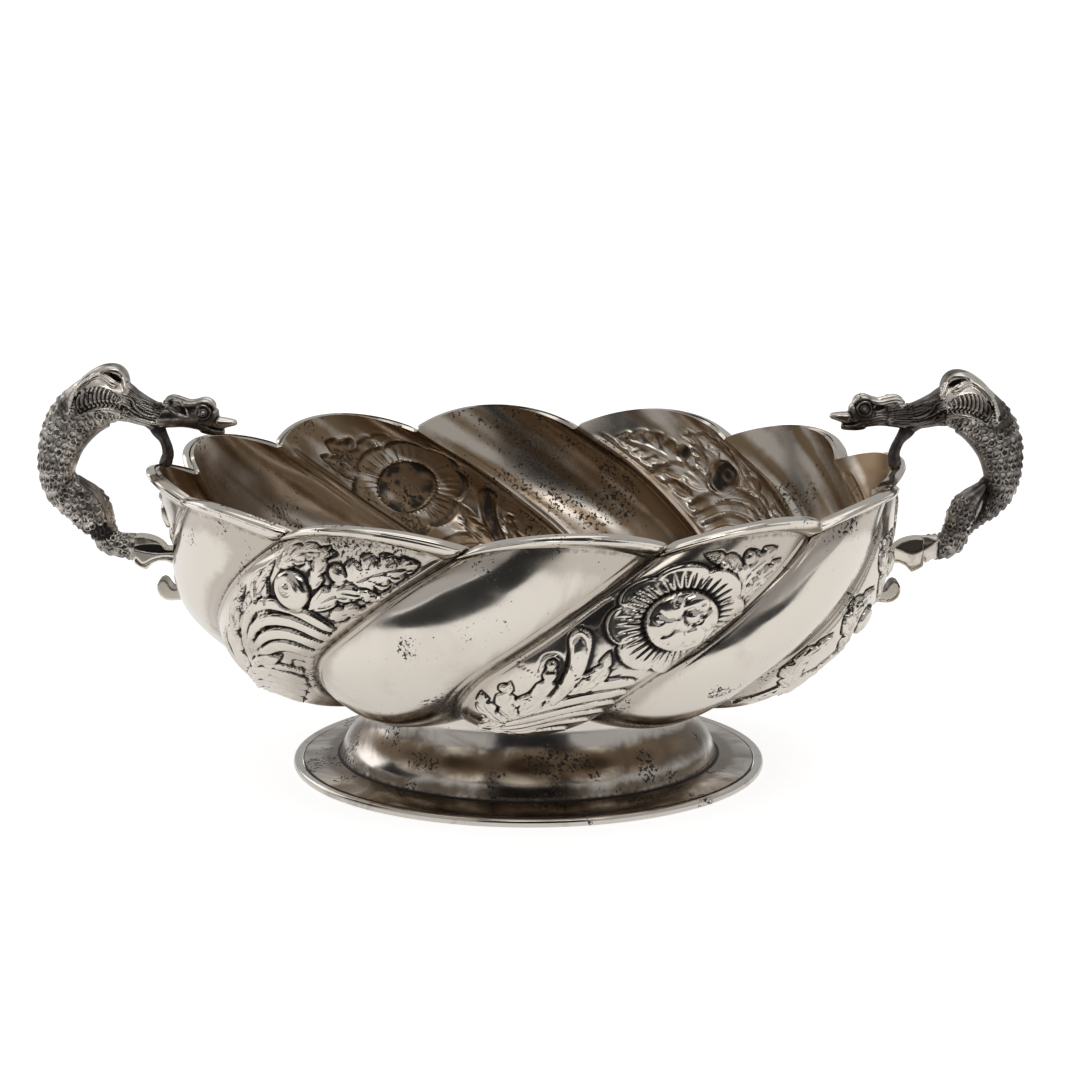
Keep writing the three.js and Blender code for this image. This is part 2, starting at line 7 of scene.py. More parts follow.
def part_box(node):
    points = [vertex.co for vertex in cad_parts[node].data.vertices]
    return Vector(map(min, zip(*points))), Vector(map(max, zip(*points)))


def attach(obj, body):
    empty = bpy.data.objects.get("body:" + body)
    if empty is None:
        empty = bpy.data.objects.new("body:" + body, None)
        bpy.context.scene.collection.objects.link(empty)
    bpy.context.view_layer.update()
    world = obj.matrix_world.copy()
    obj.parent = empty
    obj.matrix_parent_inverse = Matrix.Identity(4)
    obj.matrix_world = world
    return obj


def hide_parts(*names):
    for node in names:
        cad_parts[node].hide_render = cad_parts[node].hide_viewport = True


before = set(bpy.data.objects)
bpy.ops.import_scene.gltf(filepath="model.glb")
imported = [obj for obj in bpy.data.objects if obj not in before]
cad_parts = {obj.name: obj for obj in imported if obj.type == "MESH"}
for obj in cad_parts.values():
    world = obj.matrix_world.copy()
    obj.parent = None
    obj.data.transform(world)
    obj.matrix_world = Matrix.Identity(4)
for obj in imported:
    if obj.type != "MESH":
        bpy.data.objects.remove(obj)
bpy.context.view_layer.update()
mm = 0.001
print("frame loaded")


# picking, reading and finishing pieces

def deselectAll():
    if bpy.context.object and bpy.context.object.mode != "OBJECT":
        bpy.ops.object.mode_set(mode="OBJECT")
    bpy.ops.object.select_all(action="DESELECT")


def pick(*pieces):
    deselectAll()
    for piece in pieces:
        piece.select_set(True)
    bpy.context.view_layer.objects.active = pieces[0]


def rename(piece, name):
    piece.name = name
    piece.data.name = name
    return piece


def vertexValues(piece, name):
    flat = np.empty(len(piece.data.vertices) * 3)
    piece.data.vertices.foreach_get(name, flat)
    return flat.reshape(-1, 3)


# points are in millimetres, and in metres only in the mesh itself
def pointsOf(piece):
    return vertexValues(piece, "co") / mm


def movePoints(piece, points):
    piece.data.vertices.foreach_set("co", (points * mm).ravel())
    piece.data.update()


def applyModifier(piece, kind, **settings):
    pick(piece)
    modifier = piece.modifiers.new("step", kind)
    for key, value in settings.items():
        setattr(modifier, key, value)
    bpy.ops.object.modifier_apply(modifier=modifier.name)


def paintPoints(piece, name, values):
    layer = piece.data.attributes.get(name) or piece.data.attributes.new(name, "FLOAT", "POINT")
    everywhere = np.clip(values, 0, 1) * np.ones(len(piece.data.vertices))
    layer.data.foreach_set("value", everywhere.astype(np.float32))


# joins points that meet, closes open ends where asked, and turns the faces outwards
def weld(piece, threshold=0.00001, closeEnds=False):
    pick(piece)
    bpy.ops.object.mode_set(mode="EDIT")
    bpy.ops.mesh.select_all(action="SELECT")
    bpy.ops.mesh.remove_doubles(threshold=threshold)
    if closeEnds:
        bpy.ops.mesh.select_all(action="DESELECT")
        bpy.ops.mesh.select_non_manifold()
        bpy.ops.mesh.fill_holes(sides=0)
        bpy.ops.mesh.select_all(action="SELECT")
    bpy.ops.mesh.normals_make_consistent(inside=False)
    bpy.ops.object.mode_set(mode="OBJECT")


# gives a piece its finish and shading and its body, and hides the solid that it stands for
def finishPiece(piece, node, finish=None, edgeAngle=50.0):
    if finish:
        piece.data.materials.clear()
        piece.data.materials.append(finish)
    pick(piece)
    if edgeAngle:
        bpy.ops.object.shade_smooth_by_angle(angle=math.radians(edgeAngle))
    else:
        bpy.ops.object.shade_smooth()
    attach(piece, "root")
    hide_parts(node)


def fade(value, low, high):
    share = np.clip((value - low) / (high - low), 0, 1)
    return share * share * (3 - 2 * share)


def bell(value, middle, width):
    return np.exp(-((value - middle) / width) ** 2)


# a flat grid whose points are then laid on a shape: across is 0 to 1 along X, along is 0 to 1 along Y
def addSheet(name, columns, rows):
    deselectAll()
    bpy.ops.mesh.primitive_grid_add(x_subdivisions=columns, y_subdivisions=rows, size=2)
    piece = rename(bpy.context.object, name)
    flat = vertexValues(piece, "co")
    return piece, (flat[:, 0] + 1) / 2, (flat[:, 1] + 1) / 2


# softens values that stand on a grid of rows and columns
def softened(values, spread):
    reach = int(3 * spread) + 1
    weights = np.exp(-0.5 * (np.arange(-reach, reach + 1) / spread) ** 2)
    weights /= weights.sum()
    for axis in (0, 1):
        padded = np.pad(values, [(reach, reach) if axis == k else (0, 0) for k in (0, 1)], mode="edge")
        size = values.shape[axis]
        values = sum(
            weight * (padded[k:k + size] if axis == 0 else padded[:, k:k + size])
            for k, weight in enumerate(weights)
        )
    return values


# camera at the photograph's place
cameraPlace = {"at": (0.0031, -0.826, 0.230), "down": 11.38, "roll": 0.16, "lens": 100.57}
deselectAll()
bpy.ops.object.camera_add(location=cameraPlace["at"])
camera = bpy.context.object
camera.name = "photoCamera"
camera.matrix_world = (
    Matrix.Translation(cameraPlace["at"])
    @ Matrix.Rotation(math.radians(90 - cameraPlace["down"]), 4, "X")
    @ Matrix.Rotation(math.radians(cameraPlace["roll"]), 4, "Z")
)
camera.data.sensor_width = 36
camera.data.lens = cameraPlace["lens"]
camera.data.clip_start = 0.01
camera.data.clip_end = 100
bpy.context.scene.camera = camera


# shader helpers

def newMaterial(name):
    material = bpy.data.materials.new(name)
    material.use_nodes = True
    return material, material.node_tree, material.node_tree.nodes["Principled BSDF"]


# each socket takes a plain value or a line from another socket
def fill(tree, node, inputs):
    for key, value in inputs.items():
        socket = node.inputs[key]
        if isinstance(value, bpy.types.NodeSocket):
            tree.links.new(value, socket)
        else:
            socket.default_value = (*value, 1) if socket.type == "RGBA" else value


# nodes stand in rows, in the order in which they are made
def addNode(tree, kind, inputs=None, **settings):
    node = tree.nodes.new(kind)
    node.location = (len(tree.nodes) % 6 * 220 - 900, len(tree.nodes) // 6 * -280)
    for key, value in settings.items():
        setattr(node, key, value)
    fill(tree, node, inputs or {})
    return node


def mathNode(tree, operation, *values, clamp=False):
    settings = {"operation": operation, "use_clamp": clamp}
    return addNode(tree, "ShaderNodeMath", dict(enumerate(values)), **settings).outputs[0]


def rangeNode(tree, value, low, high, toLow=0.0, toHigh=1.0):
    inputs = {"Value": value, "From Min": low, "From Max": high, "To Min": toLow, "To Max": toHigh}
    return addNode(tree, "ShaderNodeMapRange", inputs, interpolation_type="SMOOTHSTEP").outputs["Result"]


# sockets 0, 6 and 7 of this node are the share and the two colours
def mixColour(tree, share, first, second):
    return addNode(tree, "ShaderNodeMix", {0: share, 6: first, 7: second}, data_type="RGBA").outputs[2]


def noiseNode(tree, place, scale, detail, **more):
    inputs = {"Vector": place, "Scale": scale, "Detail": detail, **more}
    return addNode(tree, "ShaderNodeTexNoise", inputs).outputs[0]


# a group of nodes: inputs without a value are vectors
def newGroup(name, inputs, outputs):
    group = bpy.data.node_groups.new(name, "ShaderNodeTree")
    for title, value in inputs.items():
        kind = "NodeSocketVector" if value is None else "NodeSocketFloat"
        socket = group.interface.new_socket(name=title, in_out="INPUT", socket_type=kind)
        if value is not None:
            socket.default_value = value
    for title in outputs:
        group.interface.new_socket(name=title, in_out="OUTPUT", socket_type="NodeSocketFloat")
    return group, addNode(group, "NodeGroupInput").outputs, addNode(group, "NodeGroupOutput")


def useGroup(tree, group, **inputs):
    return addNode(tree, "ShaderNodeGroup", inputs, node_tree=group).outputs


# cloudy film of tarnish that comes and goes over a hand's breadth; its lean, which also carries painted
# shade, pushes it further
filmGroup, given, result = newGroup(
    "tarnishFilm", {"Place": None, "Size": 30.0, "Low": 0.4, "High": 0.7, "Lean": 0.0}, ["Film"])
cloud = noiseNode(filmGroup, given["Place"], given["Size"], 7, Roughness=0.62, Distortion=0.7)
clouded = mathNode(filmGroup, "MULTIPLY_ADD", given["Lean"], 0.6, cloud)
fill(filmGroup, result, {"Film": rangeNode(filmGroup, clouded, given["Low"], given["High"])})

# small black specks that gather in clusters, where the silver has corroded
speckGroup, given, result = newGroup(
    "blackSpecks", {"Place": None, "Size": 900.0, "Cluster": 70.0, "Amount": 0.5, "Where": 0.0}, ["Specks"])
fine = noiseNode(speckGroup, given["Place"], given["Size"], 3, Roughness=0.6)
cluster = noiseNode(speckGroup, given["Place"], given["Cluster"], 3)
gathered = mathNode(speckGroup, "MULTIPLY_ADD", given["Where"], 0.12, cluster)
gathered = rangeNode(speckGroup, gathered, 0.54, 0.74)
lean = mathNode(speckGroup, "MULTIPLY", mathNode(speckGroup, "MULTIPLY", gathered, given["Amount"]), 0.3)
level = mathNode(speckGroup, "ADD", fine, mathNode(speckGroup, "MINIMUM", lean, 0.19))
fill(speckGroup, result, {"Specks": rangeNode(speckGroup, level, 0.70, 0.76)})

# hairline scratches left by polishing, as a height, and broad patches that are duller
scratchGroup, given, result = newGroup("polishScratches", {"Place": None, "Size": 400.0}, ["Height", "Dull"])
stretch = addNode(scratchGroup, "ShaderNodeMapping",
                  {"Vector": given["Place"], "Rotation": (0.3, 0.5, 0.6), "Scale": (1.0, 0.08, 0.5)})
fill(scratchGroup, result, {
    "Height": noiseNode(scratchGroup, stretch.outputs["Vector"], given["Size"], 4),
    "Dull": rangeNode(scratchGroup, noiseNode(scratchGroup, given["Place"], 90, 5), 0.35, 0.7),
})

# black oxide that stays in what lies low, with a ragged edge; the mask it reads also carries painted shade
# and a painted reflection
oxideGroup, given, result = newGroup(
    "oxideInHollows", {"Place": None, "Hollow": 0.0, "Low": 0.25, "High": 0.6}, ["Oxide"])
shift = mathNode(oxideGroup, "MULTIPLY_ADD", noiseNode(oxideGroup, given["Place"], 700, 4), 0.5, -0.25)
total = mathNode(oxideGroup, "ADD", given["Hollow"], shift)
fill(oxideGroup, result, {"Oxide": rangeNode(oxideGroup, total, given["Low"], given["High"])})


# one silver finish after another, all from the same four effects
def silverFinish(name, look):
    material, tree, shader = newMaterial(name)
    place = addNode(tree, "ShaderNodeTexCoord").outputs["Object"]
    hollowAndShade, lean = (addNode(tree, "ShaderNodeAttribute", attribute_name=title).outputs["Fac"]
                    for title in ("hollowAndShade", "tarnishAndShade"))
    film = useGroup(tree, filmGroup, Place=place, Size=look["filmSize"], Low=look["filmLow"],
                    High=look["filmHigh"], Lean=lean)["Film"]
    specks = useGroup(tree, speckGroup, Place=place, Size=look["speckSize"], Cluster=look["clusterSize"],
                      Amount=look["specks"], Where=lean)["Specks"]
    oxide = useGroup(tree, oxideGroup, Place=place, Hollow=hollowAndShade, Low=look["oxideLow"],
                     High=look["oxideHigh"])["Oxide"]
    scratches = useGroup(tree, scratchGroup, Place=place, Size=look["scratchSize"])
    bare = mixColour(tree, film, look["silver"], look["tarnishAndShade"])
    dark = mathNode(tree, "MAXIMUM", oxide, specks)
    dull = mathNode(tree, "MULTIPLY", scratches["Dull"], look["dullMore"])
    dull = mathNode(tree, "MULTIPLY_ADD", film, look["filmDull"], dull)
    dull = mathNode(tree, "MULTIPLY_ADD", dark, 0.35, dull)
    pits = mathNode(tree, "SUBTRACT", scratches["Height"], specks)
    bump = addNode(tree, "ShaderNodeBump", {"Strength": look["bump"], "Distance": 0.0002, "Height": pits})
    fill(tree, shader, {
        "Base Color": mixColour(tree, dark, bare, look["oxide"]),
        "Metallic": rangeNode(tree, dark, 0, 1, 1.0, look["oxideMetal"]),
        "Roughness": mathNode(tree, "ADD", dull, look["rough"], clamp=True),
        "Specular Tint": look["edge"], "Normal": bump.outputs["Normal"],
    })
    return material


outsideLook = {
    "silver": (0.79, 0.73, 0.65), "tarnishAndShade": (0.58, 0.52, 0.45), "oxide": (0.045, 0.038, 0.034),
    "filmSize": 28, "filmLow": 0.5, "filmHigh": 0.75, "filmDull": 0.08,
    "speckSize": 1100, "clusterSize": 60, "specks": 0.85,
    "oxideLow": 0.3, "oxideHigh": 0.75, "oxideMetal": 0.55,
    "scratchSize": 500, "dullMore": 0.06, "rough": 0.1, "bump": 0.05, "edge": (1, 1, 1),
}
insideLook = dict(
    outsideLook, silver=(0.7, 0.63, 0.55), tarnishAndShade=(0.29, 0.205, 0.13), edge=(0.9, 0.8, 0.68),
    filmSize=38, filmLow=0.54, filmHigh=0.96, filmDull=0.12, specks=0.6, clusterSize=45, rough=0.21,
)
footLook = dict(
    outsideLook, silver=(0.74, 0.69, 0.63), tarnishAndShade=(0.2, 0.155, 0.115), filmLow=0.5, filmHigh=0.85,
    filmSize=60, specks=1.3, clusterSize=80, rough=0.13,
)
castLook = dict(
    outsideLook, silver=(0.8, 0.74, 0.67), tarnishAndShade=(0.12, 0.1, 0.09), oxide=(0.02, 0.018, 0.017),
    filmSize=90, filmLow=0.48, filmHigh=0.9, specks=0.6, clusterSize=120, rough=0.2, dullMore=0.1,
    oxideLow=0.25, oxideHigh=0.7, oxideMetal=0.4, bump=0.1,
)
bracketLook = dict(castLook, silver=(0.85, 0.78, 0.67), tarnishAndShade=(0.1, 0.08, 0.065), filmLow=0.58,
                   filmHigh=0.95, rough=0.22)
outsideSilver = silverFinish("outsideSilver", outsideLook)
insideSilver = silverFinish("insideSilver", insideLook)
footSilver = silverFinish("footSilver", footLook)
castSilver = silverFinish("castSilver", castLook)
bracketSilver = silverFinish("bracketSilver", bracketLook)
print("finishes made")


# the wall of the bowl: the same lines as the frame's source, in millimetres

wall = {
    "lobes": 12, "firstCrease": 21.4, "twist": 37.0, "tipRadius": 103.0, "creaseRadius": 95.3,
    "base": 26.0, "depth": 59.7, "lipDip": 5.4, "baseRadius": 50.0, "sheet": 1.0,
}
wallStations = np.array([
    # ridge reach and rise, crease reach and rise, share of the twist
    [1.0, 1.0, 1.0, 1.0, 0.0],
    [0.965, 0.745, 1.044, 0.784, 0.29],
    [0.932, 0.529, 0.987, 0.572, 0.54],
    [0.85, 0.346, 0.87, 0.378, 0.77],
    [0.682, 0.165, 0.66, 0.203, 0.92],
    [0.46, 0.03, 0.445, 0.092, 0.98],
    [0.236, -0.024, 0.24, 0.03, 1.0],
    [0.094, -0.008, 0.099, 0.008, 1.0],
    [0.0, 0.0, 0.0, 0.0, 1.0],
])


def wallLine(reach, rise, lipRadius, dip):
    return np.stack([
        wall["baseRadius"] + reach * (lipRadius - wall["baseRadius"]),
        wall["base"] + rise * (wall["depth"] - dip),
        wallStations[:, 4] * wall["twist"],
    ], axis=1)


ridgeLine = wallLine(wallStations[:, 0], wallStations[:, 1], wall["tipRadius"], 0)
creaseLine = wallLine(wallStations[:, 2], wallStations[:, 3], wall["creaseRadius"], wall["lipDip"])


# a smooth line through stations, read at shares from 0 to 1
def alongLine(stations, share):
    last = len(stations) - 2
    place = (len(stations) - 1) * np.clip(np.asarray(share, float), 0, 1)
    index = np.clip(np.floor(place).astype(int), 0, last)
    rest = (place - index)[..., None]
    here, after = stations[index], stations[index + 1]
    ends = 2 * stations[0] - stations[1], 2 * stations[-1] - stations[-2]
    before = np.where((index > 0)[..., None], stations[np.maximum(index - 1, 0)], ends[0])
    beyond = np.where((index < last)[..., None], stations[np.minimum(index + 2, last + 1)], ends[1])
    leave, arrive = (after - before) / 2, (beyond - here) / 2
    return ((2 * here - 2 * after + leave + arrive) * rest ** 3
            + (3 * after - 3 * here - 2 * leave - arrive) * rest ** 2 + leave * rest + here)


def roundUpright(radius, bearing, height):
    return np.stack([radius * np.cos(bearing), radius * np.sin(bearing), height], axis=-1)


# column is 0 to 1 across the first lobe, 1 to 2 across the second, and so on; down is 0 at the lip
def wallFace(column, down):
    across = 2 * (column - np.floor(column)) - 1
    crease = alongLine(creaseLine, down)
    line = crease + (alongLine(ridgeLine, down) - crease) * (1 - across ** 2)[..., None]
    bearing = np.radians(wall["firstCrease"] + 360 / wall["lobes"] * column - line[..., 2])
    return roundUpright(line[..., 0], bearing, line[..., 1])


def wallNormal(column, down):
    step = 0.01
    sideways = wallFace(column + step, down) - wallFace(column - step, down)
    upwards = wallFace(column, np.maximum(down - step, 0)) - wallFace(column, np.minimum(down + step, 1))
    normal = np.cross(sideways, upwards)
    return normal / np.linalg.norm(normal, axis=-1, keepdims=True)


def lengthsAlong(line):
    return np.concatenate([[0], np.cumsum(np.hypot(*np.diff(line[:, :2], axis=0).T))])


# how far down a lobe each share lies, in millimetres along its ridge
downShares = np.linspace(0, 1, 801)
ridgePoints = alongLine(ridgeLine, downShares)
pathDown = lengthsAlong(ridgePoints)
wallPath = pathDown[-1]


# chasing tools: each lifts or sinks a field of points that has x, y and rise in millimetres

def newField(x, y):
    return {"x": x, "y": y, "rise": np.zeros(len(x))}


def smoothLine(points, count=14):
    return alongLine(np.array(points, float), np.linspace(0, 1, count))


def nearLine(x, y, line):
    best, along = np.full(x.shape, 1e9), np.zeros(x.shape)
    for k, (start, end) in enumerate(zip(line, line[1:])):
        step = end - start
        share = np.clip(((x - start[0]) * step[0] + (y - start[1]) * step[1]) / (step @ step), 0, 1)
        away = (x - start[0] - share * step[0]) ** 2 + (y - start[1] - share * step[1]) ** 2
        closer = away < best
        best[closer] = away[closer]
        along[closer] = (k + share[closer]) / (len(line) - 1)
    return np.sqrt(best), along


# the field's points near a line, how far they lie off it, and how far along it
def beside(field, line, margin):
    low, high = line.min(0) - margin, line.max(0) + margin
    spots = np.flatnonzero((field["x"] > low[0]) & (field["x"] < high[0])
                           & (field["y"] > low[1]) & (field["y"] < high[1]))
    return (spots, *nearLine(field["x"][spots], field["y"][spots], line))


# a raised leaf or flute along a line, with a vein and a chased outline
def blade(field, points, width, height, vein=0.3, widest=0.7, blunt=False, edge=0.35):
    spots, away, along = beside(field, smoothLine(points), width + 1.5)
    if blunt:
        roundEnd = np.sqrt(np.clip(1 - np.clip((along - 0.86) / 0.14, 0, 1) ** 2, 0.02, 1))
        half = width * (0.35 + 0.65 * along ** 0.6) * roundEnd
    else:
        half = width * np.sin(np.pi * np.clip(along, 0.001, 0.999) ** widest) ** 0.75
    half = np.maximum(half, 0.08)
    dome = height * np.sqrt(np.clip(1 - (away / half) ** 2, 0, 1))
    dome -= vein * bell(away, 0, 0.38) * np.sin(np.pi * along)
    over = fade(half - away, 0, min(0.55, width * 0.5))
    field["rise"][spots] *= 1 - 0.6 * over
    field["rise"][spots] += dome * over - edge * bell(away, half, 0.33) * np.clip(along * 8, 0, 1)


def groove(field, points, depth=0.4, width=0.35):
    spots, away, along = beside(field, smoothLine(points), 3 * width)
    field["rise"][spots] -= depth * bell(away, 0, width) * np.clip(6 * (1 - along), 0, 1)


def punchDots(field, points, pitch=1.15, depth=0.3, size=0.34):
    line = smoothLine(points, 40)
    length = lengthsAlong(line)
    for at in np.arange(0, length[-1], pitch):
        x, y = (np.interp(at, length, line[:, axis]) for axis in (0, 1))
        field["rise"] -= depth * bell(np.hypot(field["x"] - x, field["y"] - y), 0, size)


def boss(field, x, y, radius, height, squash=1.0, ring=0.0):
    away = np.hypot(field["x"] - x, (field["y"] - y) / squash)
    dome = height * np.sqrt(np.clip(1 - (away / radius) ** 2, 0, 1)) + 0.1
    over = fade(radius - away, 0, 0.5)
    field["rise"] = field["rise"] * (1 - over) + dome * over - 0.5 * bell(away, radius + 0.2, 0.4)
    if ring:
        field["rise"] -= 0.18 * bell(away, ring, 0.3)


# a leaf of many lobes: its sides are notched, and a vein runs back from each notch to the midrib
def lobedLeaf(field, points, width, height, teeth=4, lean=1.1, notch=0.42, vein=0.3):
    spots, away, along = beside(field, smoothLine(points, 26), width + 1.5)
    body = width * np.sin(np.pi * np.clip(along, 0.001, 0.999) ** 0.72) ** 0.7
    atEdge = along * teeth - lean
    half = np.maximum(body * (1 - notch * bell(atEdge, np.rint(atEdge), 0.13)), 0.08)
    share = np.clip(away / half, 0, 1)
    phase = along * teeth - lean * share
    ripple = 0.15 * np.cos(2 * np.pi * phase) * np.minimum(1, 2 * share)
    leaf = height * (1 - share ** 3) ** 0.6 * (0.85 - ripple)
    leaf -= vein * bell(phase, np.rint(phase), 0.09) * np.minimum(1, 1.8 * share)
    leaf -= vein * bell(away, 0, 0.36) * np.sin(np.pi * along) ** 0.5
    over = fade(half - away, 0, min(0.5, width * 0.4))
    field["rise"][spots] *= 1 - 0.85 * over
    field["rise"][spots] += leaf * over - 0.42 * bell(away, half, 0.32) * np.clip(along * 8, 0, 1)


# an open flower: fluted scallops round a dome of round petals with a button in its middle
openFlower = {"heart": 0.52, "scallops": 8, "flutes": 40, "petals": 6, "petalAt": 0.31, "petalRadius": 0.185}


def flower(field, x, y, radius, squash):
    heart = openFlower["heart"]
    sideways, upright = (field["x"] - x) / radius, (field["y"] - y) / squash / radius
    away = np.hypot(sideways, upright)
    angle = np.arctan2(upright, sideways)
    wave = np.abs(np.cos(openFlower["scallops"] * angle / 2))
    rim = 0.87 + 0.13 * wave ** 0.55
    # outer ring: each scallop is dished, with a rolled edge and flutes that fade outwards
    ring = np.clip((away - heart) / (rim - heart), 0, 1)
    outer = 0.3 + 0.85 * ring ** 1.6 + 0.2 * bell(ring, 0.86, 0.08)
    wedge = np.abs(np.sin(openFlower["flutes"] * angle / 2)) * away * radius * 2 / openFlower["flutes"]
    outer -= 0.75 * bell(wedge, 0, 0.34 - 0.2 * ring) * (1 - fade(ring, 0.35, 0.8))
    outer -= 0.45 * bell(wave, 0, 0.16) * fade(ring, 0.1, 0.5)
    over = fade(rim - away, 0, 0.03)
    field["rise"] = field["rise"] * (1 - over) + outer * over - 0.45 * bell(away * radius, rim * radius, 0.4)
    # inner dome with its petals, each with a small hooked cut
    dome = 0.6 + 1.2 * np.sqrt(np.clip(1 - (away / heart) ** 2, 0, 1))
    for k in range(openFlower["petals"]):
        turn = 2 * math.pi * k / openFlower["petals"]
        toPetal = np.hypot(sideways - openFlower["petalAt"] * math.cos(turn),
                           upright - openFlower["petalAt"] * math.sin(turn)) / openFlower["petalRadius"]
        dome = np.maximum(dome, 1.45 + 0.65 * np.sqrt(np.clip(1 - toPetal ** 2, 0, 1)) * (toPetal < 1))
        dome -= 0.32 * bell(toPetal, 1.02, 0.1)
        dip = np.hypot(sideways - 0.35 * math.cos(turn + 0.3), upright - 0.35 * math.sin(turn + 0.3))
        dome -= 0.3 * bell(dip, 0.075, 0.018) * fade(away, 0.28, 0.34)
    over = fade(heart - away, 0, 0.03)
    field["rise"] = field["rise"] * (1 - over) + dome * over - 0.6 * bell(away * radius, heart * radius, 0.42)


# the main leaves of each motif: line, width, height, lobes along a side
mainLeaves = {
    "boss": [
        ([(-21, 56), (-18, 38), (-9, 20)], 3.8, 0.95, 5), ([(-12, 42), (-6, 26), (4, 11)], 3.6, 1.0, 5),
        ([(-5, 33), (-1, 26), (2, 17)], 2.4, 0.9, 3), ([(6, 13), (15, 8), (26, 7.5)], 3.3, 0.85, 4),
        ([(17, 18), (20, 11), (24, 5.5)], 2.4, 0.9, 3), ([(24, 17), (35, 11), (47, 6.5)], 4.9, 1.05, 5),
        ([(20, 25), (27, 22), (33, 22)], 2.2, 1.0, 3), ([(15, 23), (26, 17), (37, 18)], 3.1, 1.25, 3),
    ],
    "flower": [
        ([(-31, 60), (-38, 53), (-41, 46)], 3.0, 0.9, 3), ([(-30, 56), (-34, 48), (-34, 41)], 2.9, 1.0, 3),
        ([(-29, 54), (-25, 44), (-24, 33)], 3.2, 1.1, 3), ([(-24, 50), (-20, 42), (-19.5, 34)], 2.2, 0.9, 2),
        ([(-17, 44), (-12, 38), (-10, 31)], 2.8, 0.85, 3), ([(25, 20), (22, 11), (14, 6.5)], 3.2, 0.9, 3),
        ([(24, 21), (27, 13), (37, 7)], 5.0, 0.95, 4), ([(27, 19), (33, 14), (40, 10)], 2.6, 1.0, 3),
    ],
    "scroll": [
        ([(-34, 66), (-25, 53), (-17, 42)], 2.8, 0.9, 4), ([(14, 21), (18, 12), (30, 8)], 3.3, 1.0, 4),
        ([(-6, 33), (-5, 20), (8, 16)], 3.7, 1.0, 4), ([(-20, 46), (-24, 34), (-13, 28)], 3.7, 1.0, 4),
        ([(-31, 58), (-38, 47), (-31, 38)], 3.7, 1.0, 4), ([(18, 20), (25, 22), (33, 16)], 3.1, 1.0, 3),
        ([(-2, 34), (8, 35), (16, 27)], 3.5, 1.0, 3), ([(-18, 47), (-8, 49), (0, 41)], 3.5, 1.0, 3),
        ([(-30, 62), (-18, 60), (-8, 54)], 3.5, 1.0, 3),
    ],
}


def chaseMainLeaves(field, motif):
    for line, width, height, teeth in mainLeaves[motif]:
        lobedLeaf(field, line, width, height, teeth)


# long flutes that sweep together from one root
def fronds(field, root, strokes, width, height=0.8):
    for bend, tip in strokes:
        blade(field, [root, bend[:2], bend[2:], tip], width, height, vein=0.1, blunt=True, edge=0.38)


def flowerMotif(field):
    fronds(field, (-36, 67), (((-30, 50, -16, 42.5), (-1, 42)), ((-29, 54, -16, 47), (-2, 46.5)),
                              ((-28, 57.5, -16, 51), (-4, 51.5)), ((-27, 61, -17, 55), (-6, 56.5)),
                              ((-27, 64, -19, 59.5), (-9, 61.5)), ((-28, 67, -22, 64), (-14, 66))), 2.4)
    blade(field, [(-37, 62), (-31, 49), (-20, 40.5), (-9, 35)], 1.5, 0.9, vein=0.2)
    for tip in ((-7, 36), (-5, 38.5), (-3, 41)):
        groove(field, [(-15, 41), tip], 0.3, 0.3)
    chaseMainLeaves(field, "flower")
    # curled leaf tips and the capped bud
    groove(field, [(-27.5, 37), (-26.5, 32.5), (-23, 32), (-21.5, 35), (-22.5, 38)], 0.4)
    boss(field, -24.2, 35, 1.5, 0.7)
    boss(field, -35.4, 43.4, 1.3, 0.6)
    blade(field, [(-22, 47), (-18, 36), (-17.5, 24.5)], 3.3, 1.35, vein=0.0, blunt=True)
    groove(field, [(-20.5, 35), (-19.5, 28.5), (-17.8, 26.5), (-16, 28.5), (-15.5, 33)], 0.55, 0.5)
    groove(field, [(-18, 37), (-17.8, 31)], 0.5, 0.4)
    boss(field, 27.5, 9, 1.8, 1.0)
    boss(field, 19.5, 10.5, 1.4, 0.9)
    flower(field, 8.5, 24, 20.3, 0.77)
    boss(field, 10.7, 22.5, 2.5, 2.3, squash=0.85)
    punchDots(field, [(-1, 8), (-8, 13), (-17, 21), (-24, 27), (-33, 34.5)])
    punchDots(field, [(-33, 35), (-29, 37), (-27, 39)])
    punchDots(field, [(-14, 19), (-12, 17), (-9, 16)])


